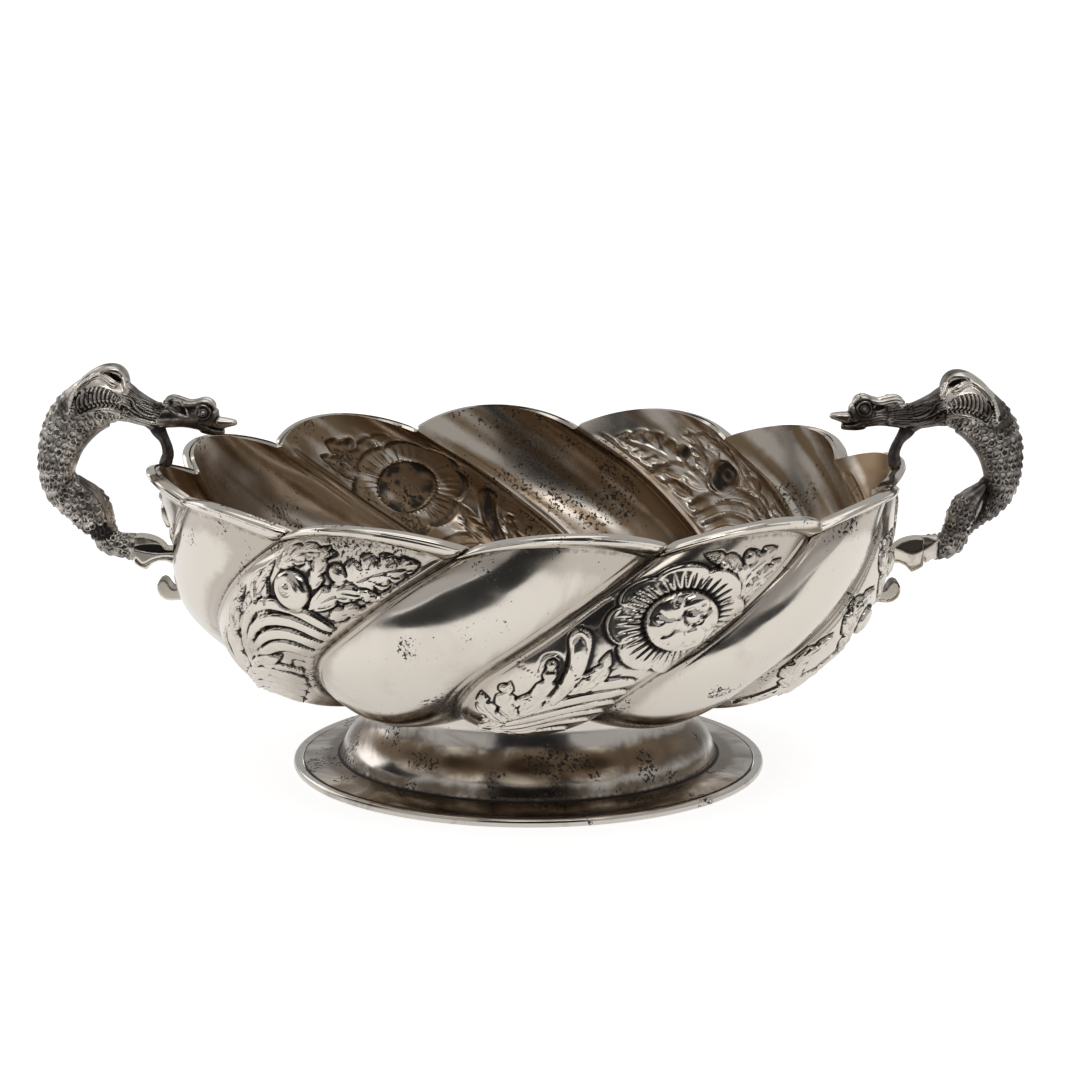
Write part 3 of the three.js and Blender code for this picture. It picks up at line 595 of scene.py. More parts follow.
def bossMotif(field):
    chaseMainLeaves(field, "boss")
    fronds(field, (-16, 47), (((-6, 27, 8, 23.5), (20, 28.5)), ((-5, 31, 8, 27.5), (19, 32.5)),
                              ((-5, 35, 6, 31.5), (15.5, 36)), ((-6, 39, 3, 35.5), (11, 39))), 2.3, 0.95)
    blade(field, [(-17, 51), (-10, 44), (-1, 39.5)], 2.8, 1.3, vein=0.1)
    groove(field, [(-2, 45), (1, 41.5), (4.5, 43), (3.5, 46), (0.5, 45.5), (1, 43.8)], 0.45, 0.4)
    blade(field, [(-15, 48), (-6, 45), (3, 47)], 1.6, 0.8, vein=0.1)
    fronds(field, (-32, 64), (((-22, 53, -12, 47.5), (-2.5, 52)), ((-23, 56, -14, 51), (-5, 56)),
                              ((-25, 59, -17, 55), (-8.5, 60.5)), ((-27, 63, -20, 60), (-13, 66))), 2.9, 1.1)
    fronds(field, (-30, 78), (((-38, 70, -42, 64), (-43, 58)), ((-36, 70, -39, 63), (-39, 57)),
                              ((-34, 70, -35, 63), (-35, 58)), ((-30, 70, -31, 65), (-30, 60))), 2.0)
    for line in ([(-24, 53), (-26, 44), (-23, 35)], [(-14, 34), (-16, 28), (-11, 25.5), (-9, 29)],
                 [(-3, 25), (-4, 18), (0, 14)], [(8, 11), (10, 7.5), (14, 6)]):
        blade(field, line, 1.5, 0.9)
    boss(field, 25, 12.6, 2.5, 1.2, ring=1.3)
    boss(field, 10.3, 18.6, 5.7, 2.3, squash=0.94, ring=3.4)
    boss(field, 9.6, 18.0, 1.6, 2.55)
    punchDots(field, [(30, 18), (34, 20), (38, 18)])
    punchDots(field, [(20, 27), (26, 24.5), (31, 21)])
    punchDots(field, [(-3, 49), (3, 49), (5, 44)])


def scrollMotif(field):
    fronds(field, (-38, 68), (((-33, 62, -26, 61), (-14, 65)), ((-34, 58, -28, 54), (-20, 55))), 1.8)
    chaseMainLeaves(field, "scroll")
    for x, y, radius, height in ((24, 14.5, 3.6, 1.4), (5, 25, 4.2, 1.5), (-14, 38, 4.2, 1.5)):
        boss(field, x, y, radius, height, ring=0.6 * radius)
        groove(field, [(x - radius, y + 1), (x - 0.4 * radius, y - radius - 1), (x + radius + 0.6, y - 1.5),
                       (x + 0.8 * radius, y + radius)], 0.4, 0.4)
    punchDots(field, [(-3, 11), (-14, 20), (-25, 30), (-34, 38)])
    punchDots(field, [(24, 24), (31, 20), (38, 14)])


motifs = {"flower": flowerMotif, "boss": bossMotif, "scroll": scrollMotif}
lobePlan = ["plain", "boss", "plain", "flower", "plain", "scroll"] * 2
# columns and rows; rows stand close down to fineTo, where the chasing is, and wide under the belly
lobeGrid = {"chased": (172, 250), "plain": (90, 130), "fineTo": 72.0, "fineShare": 0.88}
creaseCut = {"depth": 0.4, "width": 0.55, "bead": 0.25, "beadAt": 1.5, "beadWidth": 0.5,
             "line": 0.16, "lineAt": 2.6, "lineWidth": 0.3}
# tarnish inside each lobe at its two sides, from the first crease on
insideTarnish = [(0.2, 0.3), (0.4, 0.45), (0.9, 0.3), (0.85, 0.8), (0.2, 0.05), (0.5, 0.6),
                 (0.6, 0.6), (0.6, 0.6), (0.5, 0.5), (0.5, 0.5), (0.5, 0.5), (0.7, 0.7)]


# the motif, the cut beside each crease, a bead and a line along it, and slow dents left by the hammer
def lobeRise(index, x, path, inLobe, toCrease):
    kind = lobePlan[index]
    field = newField(x, path)
    if kind != "plain":
        motifs[kind](field)
    rise = field["rise"] * fade(1 - np.abs(inLobe), 0.03, 0.1)
    rise -= creaseCut["depth"] * bell(toCrease, 0, creaseCut["width"]) * fade(wallPath - path, 4, 20)
    if kind != "plain":
        bead = bell(toCrease, creaseCut["beadAt"], creaseCut["beadWidth"])
        rise = rise * (1 - 0.6 * bead) + creaseCut["bead"] * bead * fade(70 - path, 0, 12)
    line = bell(toCrease, creaseCut["lineAt"], creaseCut["lineWidth"])
    rise -= creaseCut["line"] * line * fade(66 - path, 0, 8)
    dents = (np.sin(x / 4.1 + 1.7 * index) * np.sin(path / 5.3 + 0.9 * index)
             + np.sin(x / 7.3 + path / 6.1 + 2.3 * index))
    rise += 0.06 * dents * (1 - inLobe ** 2)
    return rise * fade(path, 3.4, 5.6) * fade(wallPath - path, 0, 10)


def makeLobe(index):
    kind = lobePlan[index]
    columns, rows = lobeGrid["plain" if kind == "plain" else "chased"]
    piece, u, v = addSheet(f"{kind}Lobe{index + 1:02d}", columns, rows)
    path = np.interp(1 - v, [0, lobeGrid["fineShare"], 1], [0, lobeGrid["fineTo"], wallPath])
    down = np.interp(path, pathDown, downShares)
    inLobe = 2 * u - 1
    # the last column of points belongs to this lobe and not to the next
    column = index + np.clip(u, 0, 1 - 1e-9)
    face, normal = wallFace(column, down), wallNormal(column, down)
    normal[down > 0.9999] = (0, 0, -1)
    radius, turned = (np.interp(down, downShares, ridgePoints[:, k]) for k in (0, 2))
    half = 180 / wall["lobes"]
    x = radius * np.radians(half * inLobe + wall["twist"] / 2 - turned)
    toCrease = (1 - np.abs(inLobe)) * radius * math.radians(half) * 0.75
    rise = lobeRise(index, x, path, inLobe, toCrease)
    # what lies lower than its surroundings, on the grid
    spot = np.rint(v * rows).astype(int), np.rint(u * columns).astype(int)
    onGrid = np.zeros((rows + 1, columns + 1))
    onGrid[spot] = rise
    behind, near, around, wide = (softened(onGrid, share * columns / 52) for share in (0.35, 1.1, 2, 3))
    lower = (near - onGrid) * 1.6 + (wide - onGrid) * 0.5
    atCrease = 0.55 * bell(toCrease, 0, 0.7)
    # the oxide in the relief and the crease cut, and a painted shadow of the rim wire in the band just under
    # it
    outerHollow = np.maximum.reduce([lower[spot], atCrease, 0.45 * bell(path, 4.0, 1.2)])
    innerHollow = np.maximum(np.clip((behind - around) * 1.1, 0, 0.75)[spot], 0.4 * atCrease)
    # both finishes are there before the sheet gets its thickness, so that the inner faces take the second
    piece.data.materials.append(outsideSilver)
    piece.data.materials.append(insideSilver)
    applyModifier(piece, "SOLIDIFY", thickness=wall["sheet"] * mm, offset=-1, material_offset=1)
    innerRise = np.minimum(np.minimum(behind[spot], rise + 0.45), 1.2) - wall["sheet"]
    movePoints(piece, np.concatenate([face + normal * rise[:, None], face + normal * innerRise[:, None]]))
    paintPoints(piece, "hollowAndShade", np.concatenate([outerHollow, innerHollow]))
    # streaks left along the lobe by wiping, relief rubbed bright, and painted shade outside beside the
    # creases and under the rim wire, which also gathers black specks there
    first, second = insideTarnish[index]
    streaks = np.sin(26 * u + 2.2 * np.sin(4 * v) + index) * np.sin(9 * u + 3 * v + 1.7 * index)
    rubbed = np.clip((around - behind) * 1.3, 0, 1)[spot]
    inside = first + (second - first) * u + 0.25 * innerHollow + 0.45 * streaks - 0.8 * rubbed
    # painted shade: a broad darker band beside each crease and just under the rim wire
    creaseAndWireShade = 0.7 * bell(toCrease, 0, 4) + 0.55 * bell(path, 6, 4)
    paintPoints(piece, "tarnishAndShade", np.concatenate([creaseAndWireShade, inside]))
    finishPiece(piece, "bowl")


for index in range(wall["lobes"]):
    makeLobe(index)
print("lobes raised and chased")


# the floor of the bowl, a disc inside the ring where the lobes end
bowlFloor = {"rings": 24, "around": 144, "crown": 0.6}


def makeFloor():
    piece, u, v = addSheet("bowlFloor", bowlFloor["around"], bowlFloor["rings"])
    bearing = np.radians(wall["firstCrease"] - wall["twist"]) - u * 2 * math.pi
    crown = bowlFloor["crown"] * (1 - (1 - v) ** 2)
    movePoints(piece, roundUpright(wall["baseRadius"] * (1 - v), bearing, wall["base"] + crown))
    weld(piece)
    applyModifier(piece, "SOLIDIFY", thickness=wall["sheet"] * mm, offset=1)
    paintPoints(piece, "tarnishAndShade", 0.5)
    finishPiece(piece, "bowl", insideSilver)


makeFloor()


# rim wires: half-round with a fine line, one along each lobe
rimWire = {"reach": 2.7, "height": 3.6, "rise": 0.4, "gap": 0.25, "joint": 0.5, "roundEnd": 1.8,
           "steps": 56, "around": 28, "frontShare": 0.75}


def makeRimWire(index):
    piece, u, v = addSheet(f"rimWire{index + 1:02d}", rimWire["around"], rimWire["steps"])
    lobeLength = wall["creaseRadius"] * math.radians(360 / wall["lobes"])
    stop = rimWire["joint"] / 2 / lobeLength
    column = index + stop + v * (1 - 2 * stop)
    lip, below = (wallFace(column, down) + wallNormal(column, down) * rimWire["gap"]
                  for down in (np.zeros_like(v), np.full_like(v, 1 / 12)))
    outward = lip * (1, 1, 0)
    outward /= np.linalg.norm(outward, axis=1, keepdims=True)
    toEnd = np.minimum(v, 1 - v) * lobeLength
    shrink = 0.35 + 0.65 * np.sqrt(np.clip(1 - (1 - np.clip(toEnd / rimWire["roundEnd"], 0, 1)) ** 2, 0, 1))
    # the first share of the points goes round the front, the rest along the flat back
    atFront = u <= rimWire["frontShare"]
    turn = math.pi * (np.clip(u / rimWire["frontShare"], 0, 1) - 0.5)
    back = np.clip((u - rimWire["frontShare"]) / (1 - rimWire["frontShare"]), 0, 1)
    tall = np.where(atFront, np.sin(turn), 1 - 2 * back)
    out = np.where(atFront, np.cos(turn) * (1 + 0.35 * np.sin(turn)) / 1.06, 0)
    line = 0.28 * bell(tall, 0.42, 0.1) * (out > 0)
    half = rimWire["height"] / 2
    drop = half - rimWire["rise"] - half * tall * shrink
    onBack = lip + (below - lip) * (drop / (lip[:, 2] - below[:, 2]))[:, None]
    movePoints(piece, onBack + outward * ((rimWire["reach"] * out - line) * shrink)[:, None])
    # painted reflection: the fine line is filled with black for the dark band mirrored along the wire;
    # painted shade darkens the wire's underside; the ends stay dark at the joints
    paintPoints(piece, "hollowAndShade", 2.2 * line + 0.5 * fade(-tall, 0.7, 1.0) + 0.6 * fade(-toEnd, -1.2, 0))
    weld(piece, closeEnds=True)
    finishPiece(piece, f"rim_wire_{index + 1:02d}", outsideSilver)


for index in range(wall["lobes"]):
    makeRimWire(index)
print("rim wires soldered")


# the spun foot: its outer line is extruded point by point, then spun round the upright axis
spunFoot = {
    "line": [(45, 25.7), (45, 22.5), (45.02, 19.8), (45.8, 16.2), (47.3, 13.25), (50, 9.9), (51.9, 6.9),
             (52.7, 4.6), (52.9, 3.75), (53.3, 3.35), (54.2, 3.15), (58, 2.75), (61.5, 2.4), (63.6, 2.1)],
    "sheet": 1.0, "steps": 128, "seamAt": 53.4, "flangeFrom": 53.2,
}
footWire = {"inner": 63.9, "flat": 1.5, "width": 2.4, "height": 2.3, "steps": 128}


# a line of points [radius, height], extruded as by hand and spun once round
def spinLine(name, line, steps, closedLine):
    deselectAll()
    bpy.ops.mesh.primitive_plane_add(size=0.001, location=(line[0][0] * mm, 0, line[0][1] * mm))
    piece = rename(bpy.context.object, name)
    bpy.ops.object.transform_apply(location=True, rotation=True, scale=True)
    bpy.ops.object.mode_set(mode="EDIT")
    bpy.ops.mesh.select_all(action="SELECT")
    bpy.ops.mesh.merge(type="CENTER")
    path = list(line) + ([line[0]] if closedLine else [])
    for (fromOut, fromUp), (out, up) in zip(path, path[1:]):
        bpy.ops.mesh.extrude_region_move(
            TRANSFORM_OT_translate={"value": ((out - fromOut) * mm, 0, (up - fromUp) * mm)})
    bpy.ops.mesh.select_all(action="SELECT")
    bpy.ops.mesh.remove_doubles(threshold=0.00001)
    bpy.ops.mesh.select_all(action="SELECT")
    bpy.ops.mesh.spin(steps=steps, angle=2 * math.pi, center=(0, 0, 0), axis=(0, 0, 1))
    weld(piece)
    return piece


def makeFoot():
    line = smoothLine(spunFoot["line"], 70)
    piece = spinLine("spunFoot", [tuple(point) for point in line], spunFoot["steps"], False)
    if (vertexValues(piece, "normal")[:, :2] * pointsOf(piece)[:, :2]).sum() < 0:
        piece.data.flip_normals()
    applyModifier(piece, "SOLIDIFY", thickness=spunFoot["sheet"] * mm, offset=-1)
    x, y, up = pointsOf(piece).T
    radius = np.hypot(x, y)
    seam = 0.9 * bell(radius, spunFoot["seamAt"], 0.7) * (up < 5)
    underBowl = 0.5 * fade(up, 23.5, 25.6)
    edge = 0.8 * fade(radius, 62.9, 63.5)
    paintPoints(piece, "hollowAndShade", np.maximum.reduce([seam, underBowl, edge]))
    # painted reflection: dark brown bands round the lower neck and the knuckle stand for the bowl's underside
    # mirrored in the foot
    reflectionBands = np.maximum(0.7 * bell(up, 12, 3.5), 0.55 * bell(up, 5, 2.0))
    flange = 0.25 + 0.5 * fade(-radius, -59, -54)
    paintPoints(piece, "tarnishAndShade", np.where(radius > spunFoot["flangeFrom"], flange, reflectionBands))
    finishPiece(piece, "foot", footSilver)


def makeFootWire():
    inner, middle = footWire["inner"], footWire["inner"] + footWire["flat"]
    half = footWire["height"] / 2
    bulge = footWire["width"] - footWire["flat"]
    line = [(inner, 0.0), (middle, 0.0)]
    for k in range(1, 12):
        turn = math.pi * (k / 12 - 0.5)
        line.append((middle + bulge * math.cos(turn), half + half * math.sin(turn)))
    line += [(middle, 2 * half), (inner + 0.5, 2 * half - 0.06), (inner, 2 * half - 0.4)]
    piece = spinLine("footWire", line, footWire["steps"], True)
    finishPiece(piece, "foot_wire", footSilver)


makeFoot()
makeFootWire()
print("foot spun")


# the dragons: limbs laid through stations, fused into one casting, then chased with scales and feathers.
# Stations are [out, up, half depth, half width, side], measured from the handle's place on the lip.
dragon = {
    "out": 103.0, "up": 85.7, "voxel": 0.224,
    "body": [
        [20.8, -17.8, 0.7, 1.0, 0], [23.2, -15.5, 1.5, 2.0, 0], [25.9, -12.3, 2.6, 3.1, 0],
        [27.9, -8.3, 3.8, 4.1, 0], [28.4, -4.3, 4.9, 4.8, 0], [28.3, -0.4, 5.6, 5.3, 0],
        [27.4, 4.5, 6.5, 5.8, 0], [25.2, 9.2, 7.2, 6.4, 0], [21.8, 13.2, 7.5, 6.9, 0],
        [17.5, 16.1, 7.6, 7.2, 0], [12.9, 16.2, 6.1, 6.2, 0], [9.4, 15.2, 4.8, 4.8, 0],
        [5.7, 14.0, 4.1, 4.0, 0], [2.2, 13.3, 3.6, 3.5, 0], [-1.5, 13.5, 3.3, 3.2, 0],
        [-5.0, 14.0, 3.4, 3.1, 0], [-8.5, 14.3, 3.9, 3.3, 0], [-12.0, 13.9, 3.8, 3.0, 0],
        [-14.4, 13.0, 2.4, 2.2, 0],
    ],
    "tail": [
        [24.4, -4.6, 1.0, 1.8, -0.8], [21.9, -7.2, 2.1, 2.9, -1.3], [18.9, -10.3, 3.2, 3.7, -1.6],
        [17.0, -14.2, 3.8, 4.0, -1.6], [16.2, -18.3, 3.8, 4.0, -1.2], [14.6, -21.9, 3.7, 3.9, -0.6],
        [12.0, -23.4, 3.5, 3.8, 0], [9.6, -23.6, 3.4, 3.7, 0], [6.4, -23.8, 3.5, 3.7, 0],
    ],
    "web": [
        [23.6, -3.6, 0.9, 1.8, 0.4], [22.9, -8.3, 1.9, 2.0, 0.5], [22.0, -12.4, 1.7, 1.8, 0.3],
        [20.9, -15.9, 1.1, 1.3, 0], [20.0, -18.6, 0.6, 0.8, 0],
    ],
    "back": [
        [26.8, -6.6, 2.0, 2.0, 1.2], [24.2, -9.2, 4.0, 2.2, 1.7], [21.0, -13.2, 4.9, 2.5, 2.0],
        [18.2, -17.2, 3.9, 2.2, 1.7], [16.9, -20.4, 2.4, 1.8, 1.5],
    ],
    "heel": [[12.4, -23.4, 1.6, 2.6, 0], [10.4, -24.0, 2.2, 3.0, 0], [8.4, -24.9, 2.5, 3.2, 0],
             [6.4, -25.8, 2.7, 3.3, 0]],
    "throat": [
        [12.0, 13.3, 2.2, 2.8, 0], [9.0, 13.0, 2.1, 2.7, 0], [6.0, 12.2, 2.0, 2.4, 0],
        [3.6, 11.0, 2.0, 2.1, 0], [1.9, 9.5, 1.9, 1.9, 0],
    ],
    "upperBeak": [
        [-12.4, 13.4, 2.3, 2.4, 0], [-14.6, 12.9, 1.85, 2.1, 0], [-16.4, 13.1, 1.5, 2.0, 0],
        [-18.0, 13.3, 1.15, 1.8, 0], [-19.3, 13.4, 0.8, 1.3, 0], [-19.9, 13.5, 0.3, 0.6, 0],
    ],
    "lowerJaw": [
        [-9.6, 11.6, 1.9, 2.3, 0], [-12.2, 10.8, 1.5, 2.0, 0], [-14.4, 10.6, 1.25, 1.8, 0],
        [-15.9, 10.7, 1.2, 1.6, 0], [-16.6, 10.8, 0.9, 1.4, 0],
    ],
    "crest": [
        [-13.5, 16.6, 0.5, 0.9, 1.6], [-12.4, 18.1, 0.75, 1.2, 1.8], [-10.5, 18.6, 0.85, 1.3, 2.1],
        [-8.3, 17.9, 0.8, 1.2, 2.4], [-6.2, 17.5, 0.8, 1.1, 2.6], [-4.0, 17.9, 0.85, 1.0, 2.7],
        [-1.8, 18.3, 0.85, 1.0, 2.7], [-0.2, 17.8, 0.75, 0.9, 2.7], [0.4, 16.9, 0.5, 0.7, 2.8],
    ],
    "ear": [[-4.4, 15.4, 0.3, 0.4, 3.2], [-3.4, 15.9, 0.8, 0.6, 3.3], [-2.0, 16.4, 0.7, 0.6, 3.4],
            [-0.9, 17.4, 0.3, 0.4, 3.2]],
    "hump": [
        [10.9, 20.4, 1.1, 2.2, 0], [12.7, 23.6, 1.7, 3.0, 0], [14.9, 24.7, 1.8, 3.4, 0],
        [18.0, 24.1, 1.7, 3.3, 0], [21.4, 22.2, 1.3, 2.8, 0], [24.4, 19.7, 0.9, 2.0, 0],
    ],
    "upperRoll": [(10.9, 19.8), (11.9, 22.4), (13.2, 24.0), (15.4, 24.9), (18.0, 24.8), (20.4, 23.8),
                  (22.6, 22.0), (24.6, 19.9)],
    "lowerRoll": [(13.0, 21.2), (14.5, 21.7), (16.2, 22.6), (18.2, 23.1), (20.0, 22.6), (21.8, 21.3),
                  (23.5, 19.5), (24.9, 17.2), (25.5, 14.6), (25.4, 12.4)],
    "eye": (-10.5, 15.7, 2.7), "eyeBall": 1.5, "eyeRing": 1.95,
    # the left casting is bent a little more towards the bowl than the right one
    "leftLean": {"turn": 0.098, "shift": 1.0, "about": 5.0, "from": -12.0, "to": 8.0},
}
scales = {"pitch": 2.1, "around": 17, "tailAround": 12, "height": 0.24}
# the dark lozenge on one side of the bracket, which runs on over the tail's end
lozenge = {"rim": [(-3.2, -23.2), (0.5, -24.2), (3.9, -25.2), (7.5, -23.6), (11.1, -21.3)],
           "top": [(-3.2, -20.6), (0.5, -19.6), (3.5, -19.2), (7.7, -20.0), (11.1, -21.3)]}


# a round limb through stations, closed at both ends
def addLimb(name, stations, around=40, steps=8, squareEnd=False):
    stations = np.array(stations, float)
    piece, u, v = addSheet(name, around, steps * len(stations))
    line = alongLine(stations, v)
    ahead = alongLine(stations, np.clip(v + 0.01, 0, 1)) - alongLine(stations, np.clip(v - 0.01, 0, 1))
    along = np.stack([ahead[:, 0], ahead[:, 4], ahead[:, 1]], axis=1)
    along /= np.linalg.norm(along, axis=1, keepdims=True)
    sideways = np.array([0.0, 1.0, 0.0]) - along * along[:, 1:2]
    sideways /= np.linalg.norm(sideways, axis=1, keepdims=True)
    depthwise = np.cross(along, sideways)
    turn = 2 * np.pi * u
    toEnd = np.where(v > 0.5, (1 - v) * (6 if squareEnd else 1), v) * len(stations) * 1.6
    shrink = np.sqrt(np.clip(1 - (1 - np.clip(toEnd, 0, 1)) ** 2, 0, 1))
    centre = np.stack([line[:, 0], line[:, 4], line[:, 1]], axis=1)
    points = (centre + depthwise * (line[:, 2] * np.cos(turn) * shrink)[:, None]
              + sideways * (line[:, 3] * np.sin(turn) * shrink)[:, None])
    movePoints(piece, points)
    weld(piece, 0.000005)
    return piece


# how each point lies to a limb's middle line: its distance in limb thicknesses, its place along it
# in millimetres and as a share, and how far it is towards the inner side and across
def besideLine(stations, points):
    line = smoothLine(stations, 160)
    out, side, up = points.T
    best = np.full(len(points), 1e9)
    index = np.zeros(len(points), int)
    for k, (x, y, deep, broad, shift) in enumerate(line):
        away = ((out - x) ** 2 + (up - y) ** 2) / deep ** 2 + ((side - shift) / broad) ** 2
        closer = away < best
        best[closer], index[closer] = away[closer], k
    ahead = np.gradient(line[:, :2], axis=0)
    ahead /= np.linalg.norm(ahead, axis=1, keepdims=True)
    (forwardOut, forwardUp), here = ahead[index].T, line[index].T
    dx, dy = out - here[0], up - here[1]
    return {"far": np.sqrt(best), "share": index / (len(line) - 1),
            "along": lengthsAlong(line)[index] + dx * forwardOut + dy * forwardUp,
            "inner": (dy * forwardOut - dx * forwardUp) / here[2], "across": (side - here[4]) / here[3]}


def awayFrom(out, up, line, count=40):
    return nearLine(out, up, smoothLine(line, count))[0]


# rows of punched scales: each is a raised crescent, thin towards the head, round a shallow pit
def scaleRelief(along, turn, around):
    height = np.zeros(along.shape)
    row = np.floor(along / scales["pitch"])
    for step in (0, 1, 2):
        j = row + step - 0.5
        shifted = turn * around + 0.5 * ((j + 0.5) % 2)
        column = np.rint(shifted)
        x = (shifted - column) * 2 + 0.28 * np.sin(5.1 * j + 3.7 * column)
        y = j - along / scales["pitch"] + 0.14 * np.sin(3.3 * j + 5.9 * column)
        away = np.hypot(x, y * 1.6)
        ring = bell(away, 0.78, 0.17) * (0.1 + 0.9 * fade(y, -0.35, 0.3))
        height += 1.9 * ring - 0.1 * bell(x, 0, 0.36) * bell(y, 0.03, 0.22)
    return height - 0.45


def wingSide(out, up):
    spots = np.stack([out, np.zeros(len(out)), up], axis=1)
    place = besideLine(dragon["body"], spots)
    line = alongLine(np.array(dragon["body"], float), place["share"])
    return line[:, 3] * np.sqrt(np.clip(1 - place["inner"] ** 2, 0.05, 1))


# a roll on the wing, thicker towards the head
def rolled(line, radius, lift):
    spots = np.array(line, float)
    reach = wingSide(spots[:, 0], spots[:, 1]) + lift
    last = len(line) - 1
    thick = [radius * (1.25 - 0.55 * k / last) * (0.6 if k in (0, last) else 1) for k in range(last + 1)]
    return [[x, y, r, r * 1.2, side] for (x, y), r, side in zip(line, thick, reach)]


def mirroredStations(stations, side):
    return [[*station[:4], side * station[4]] for station in stations]


# what stands out on each side of the head and the wing
def sideForms(side):
    eyeOut, eyeUp, eyeSide = dragon["eye"]
    stations = {"crest": dragon["crest"], "ear": dragon["ear"],
                "upperRoll": rolled(dragon["upperRoll"], 0.5, 0.25),
                "lowerRoll": rolled(dragon["lowerRoll"], 0.85, 0.35)}
    forms = [addLimb(name, mirroredStations(line, side), 24) for name, line in stations.items()]
    deselectAll()
    bpy.ops.mesh.primitive_uv_sphere_add(segments=32, ring_count=16, radius=dragon["eyeBall"] * mm,
                                         location=(eyeOut * mm, side * eyeSide * mm, eyeUp * mm))
    forms.append(bpy.context.object)
    deselectAll()
    bpy.ops.mesh.primitive_torus_add(major_radius=dragon["eyeRing"] * mm, minor_radius=0.36 * mm,
                                     major_segments=40, minor_segments=12, rotation=(math.pi / 2, 0, 0),
                                     location=(eyeOut * mm, side * (eyeSide + 0.3) * mm, eyeUp * mm))
    forms.append(bpy.context.object)
    return forms


# how much each point lies in the lozenge, how near its raised rim, and how far below it
def lozengeFace(out, up):
    rim, top = (smoothLine(lozenge[name], 40) for name in ("rim", "top"))
    under = np.interp(out, rim[:, 0], rim[:, 1])
    over = np.interp(out, top[:, 0], top[:, 1])
    beforeEnd = out < lozenge["rim"][-1][0]
    inside = fade(np.minimum(up - under, over - up), 0, 0.5) * beforeEnd
    slope = np.clip(under - up, 0, 3.2) * beforeEnd
    return inside, bell(nearLine(out, up, rim)[0], 0, 0.3), slope


# the parts of the casting, as shares from 0 to 1 at each point
def dragonZones(points):
    body, tail, web, back = (besideLine(dragon[name], points) for name in ("body", "tail", "web", "back"))
    out, side, up = points.T
    onTail = (tail["far"] < body["far"]) & (tail["share"] > 0.1) & ((side < 0.5) | (up < -19.5))
    onBack = (back["far"] < body["far"]) & (back["far"] < tail["far"]) & (side > 0.4) & ~onTail
    onWeb = fade(body["far"] - web["far"], -0.1, 0.3) * fade(tail["far"] - web["far"], -0.1, 0.3)
    onWeb = onWeb * (side < 0.4)
    # scales over the body up to the wing and below it, none on the inner side of the loop
    underWing = fade(14.4 - up - 0.05 * (out - 17) ** 2, 0, 1.0) * (out > 8.5)
    upTo = np.maximum(1 - fade(body["along"] + 1.5 * body["inner"], 31, 34), underWing)
    scaled = fade(0.95 - body["inner"], 0, 0.3) * upTo * fade(body["along"], 1.5, 3)
    scaled = scaled * ~onTail * (1 - onWeb) * ~onBack
    tailScaled = onTail * (1 - onWeb) * fade(tail["along"], 6, 9) * fade(out, 7.6, 8.6)
    tailScaled *= np.where(side < 0, fade(out - 0.25 * (up + 23.5), 10.6, 11.6), 1)
    bodyTurn = np.arctan2(body["across"], -body["inner"]) / (2 * np.pi)
    tailTurn = np.arctan2(tail["across"], tail["inner"]) / (2 * np.pi)
    relief = scaled * scaleRelief(body["along"], bodyTurn, scales["around"])
    relief += tailScaled * scaleRelief(-tail["along"], tailTurn, scales["tailAround"])
    backScaled = onBack * np.maximum(fade(back["along"], 4, 7), fade(side, 2.2, 3.0))
    relief += backScaled * scaleRelief(-back["along"], back["inner"] * 0.17, scales["tailAround"])
    innerSide = fade(body["inner"], 0.6, 0.95) * ~onTail * ~onBack * (1 - (side > 0) * fade(-up, 0, 4))
    rolls = np.minimum(*(awayFrom(out, up, dragon[name]) for name in ("upperRoll", "lowerRoll")))
    return {"tail": onTail, "back": onBack, "web": onWeb, "scaled": scaled, "relief": relief,
            "inner": innerSide, "rolls": rolls}


# oxide in the hollows, a dark film on the neck, the head, the feathers and the inner side of the loop, and
# painted shade that makes one side darker than the other
def paintDragon(piece, points, zones, leaf, face, rim):
    out, side, up = points.T
    polished = 1 - fade(zones["rolls"], 0.75, 1.15)
    feathers = fade(1.15 - np.hypot((out - 17) / 6.5, (up - 18.6) / 4.2), 0, 0.3)
    joint = bell(((out - 16.2) / 3.4) ** 2 + ((up + 19.6) / 2.5) ** 2, 0, 1) * (side > 0)
    underBrow = bell(out, -6.4, 2.6) * bell(up, 15.8, 0.8)
    dark = np.maximum.reduce([
        0.4 * fade(-out, -11, -7), 0.12 * feathers, 0.7 * zones["inner"], 0.8 * zones["web"], joint,
        # painted shade: the film is heavier on the side below zero than on the other side
        0.9 * face, np.where(side < 0, 0.42, 0.34) * (1 - 0.6 * feathers),
    ])
    brow = awayFrom(out, up, [station[:2] for station in dragon["crest"]])
    beak = fade(-out, 14.2, 15.4) * (up > 11.2)
    eyeball = 1 - fade(np.hypot(out - dragon["eye"][0], up - dragon["eye"][1]), 0.6, 1.0)
    webEdge = bell(awayFrom(out, up, [(23.3, -10.4), (21.3, -14.6), (19.1, -17.5)], 14), 0, 0.4) * (side < 0)
    band = fade(11.0 - out, 0, 0.6) * (up < -20) * (side < 0) * (1 - face)
    bright = np.maximum.reduce([
        0.7 * (1 - fade(brow, 0.6, 1.1)), polished, 0.8 * beak, 0.25 * eyeball, webEdge, band,
        rim * (side < 0), np.clip(3 * leaf, 0, 1),
    ])
    dark = np.maximum(dark, np.clip(-2 * leaf, 0, 0.8)) * (1 - bright)
    hollowAndShade = hollowness(piece, 0.34, 0.26) + 0.6 * joint + 0.35 * underBrow + 0.12 * dark - 0.28 * feathers
    hollowAndShade -= 0.3 * np.clip(zones["relief"], 0, 1)
    hollowAndShade -= 0.55 * np.maximum.reduce([polished * (up > 15), webEdge, band, np.clip(3 * leaf, 0, 1)])
    paintPoints(piece, "hollowAndShade", hollowAndShade)
    paintPoints(piece, "tarnishAndShade", dark)


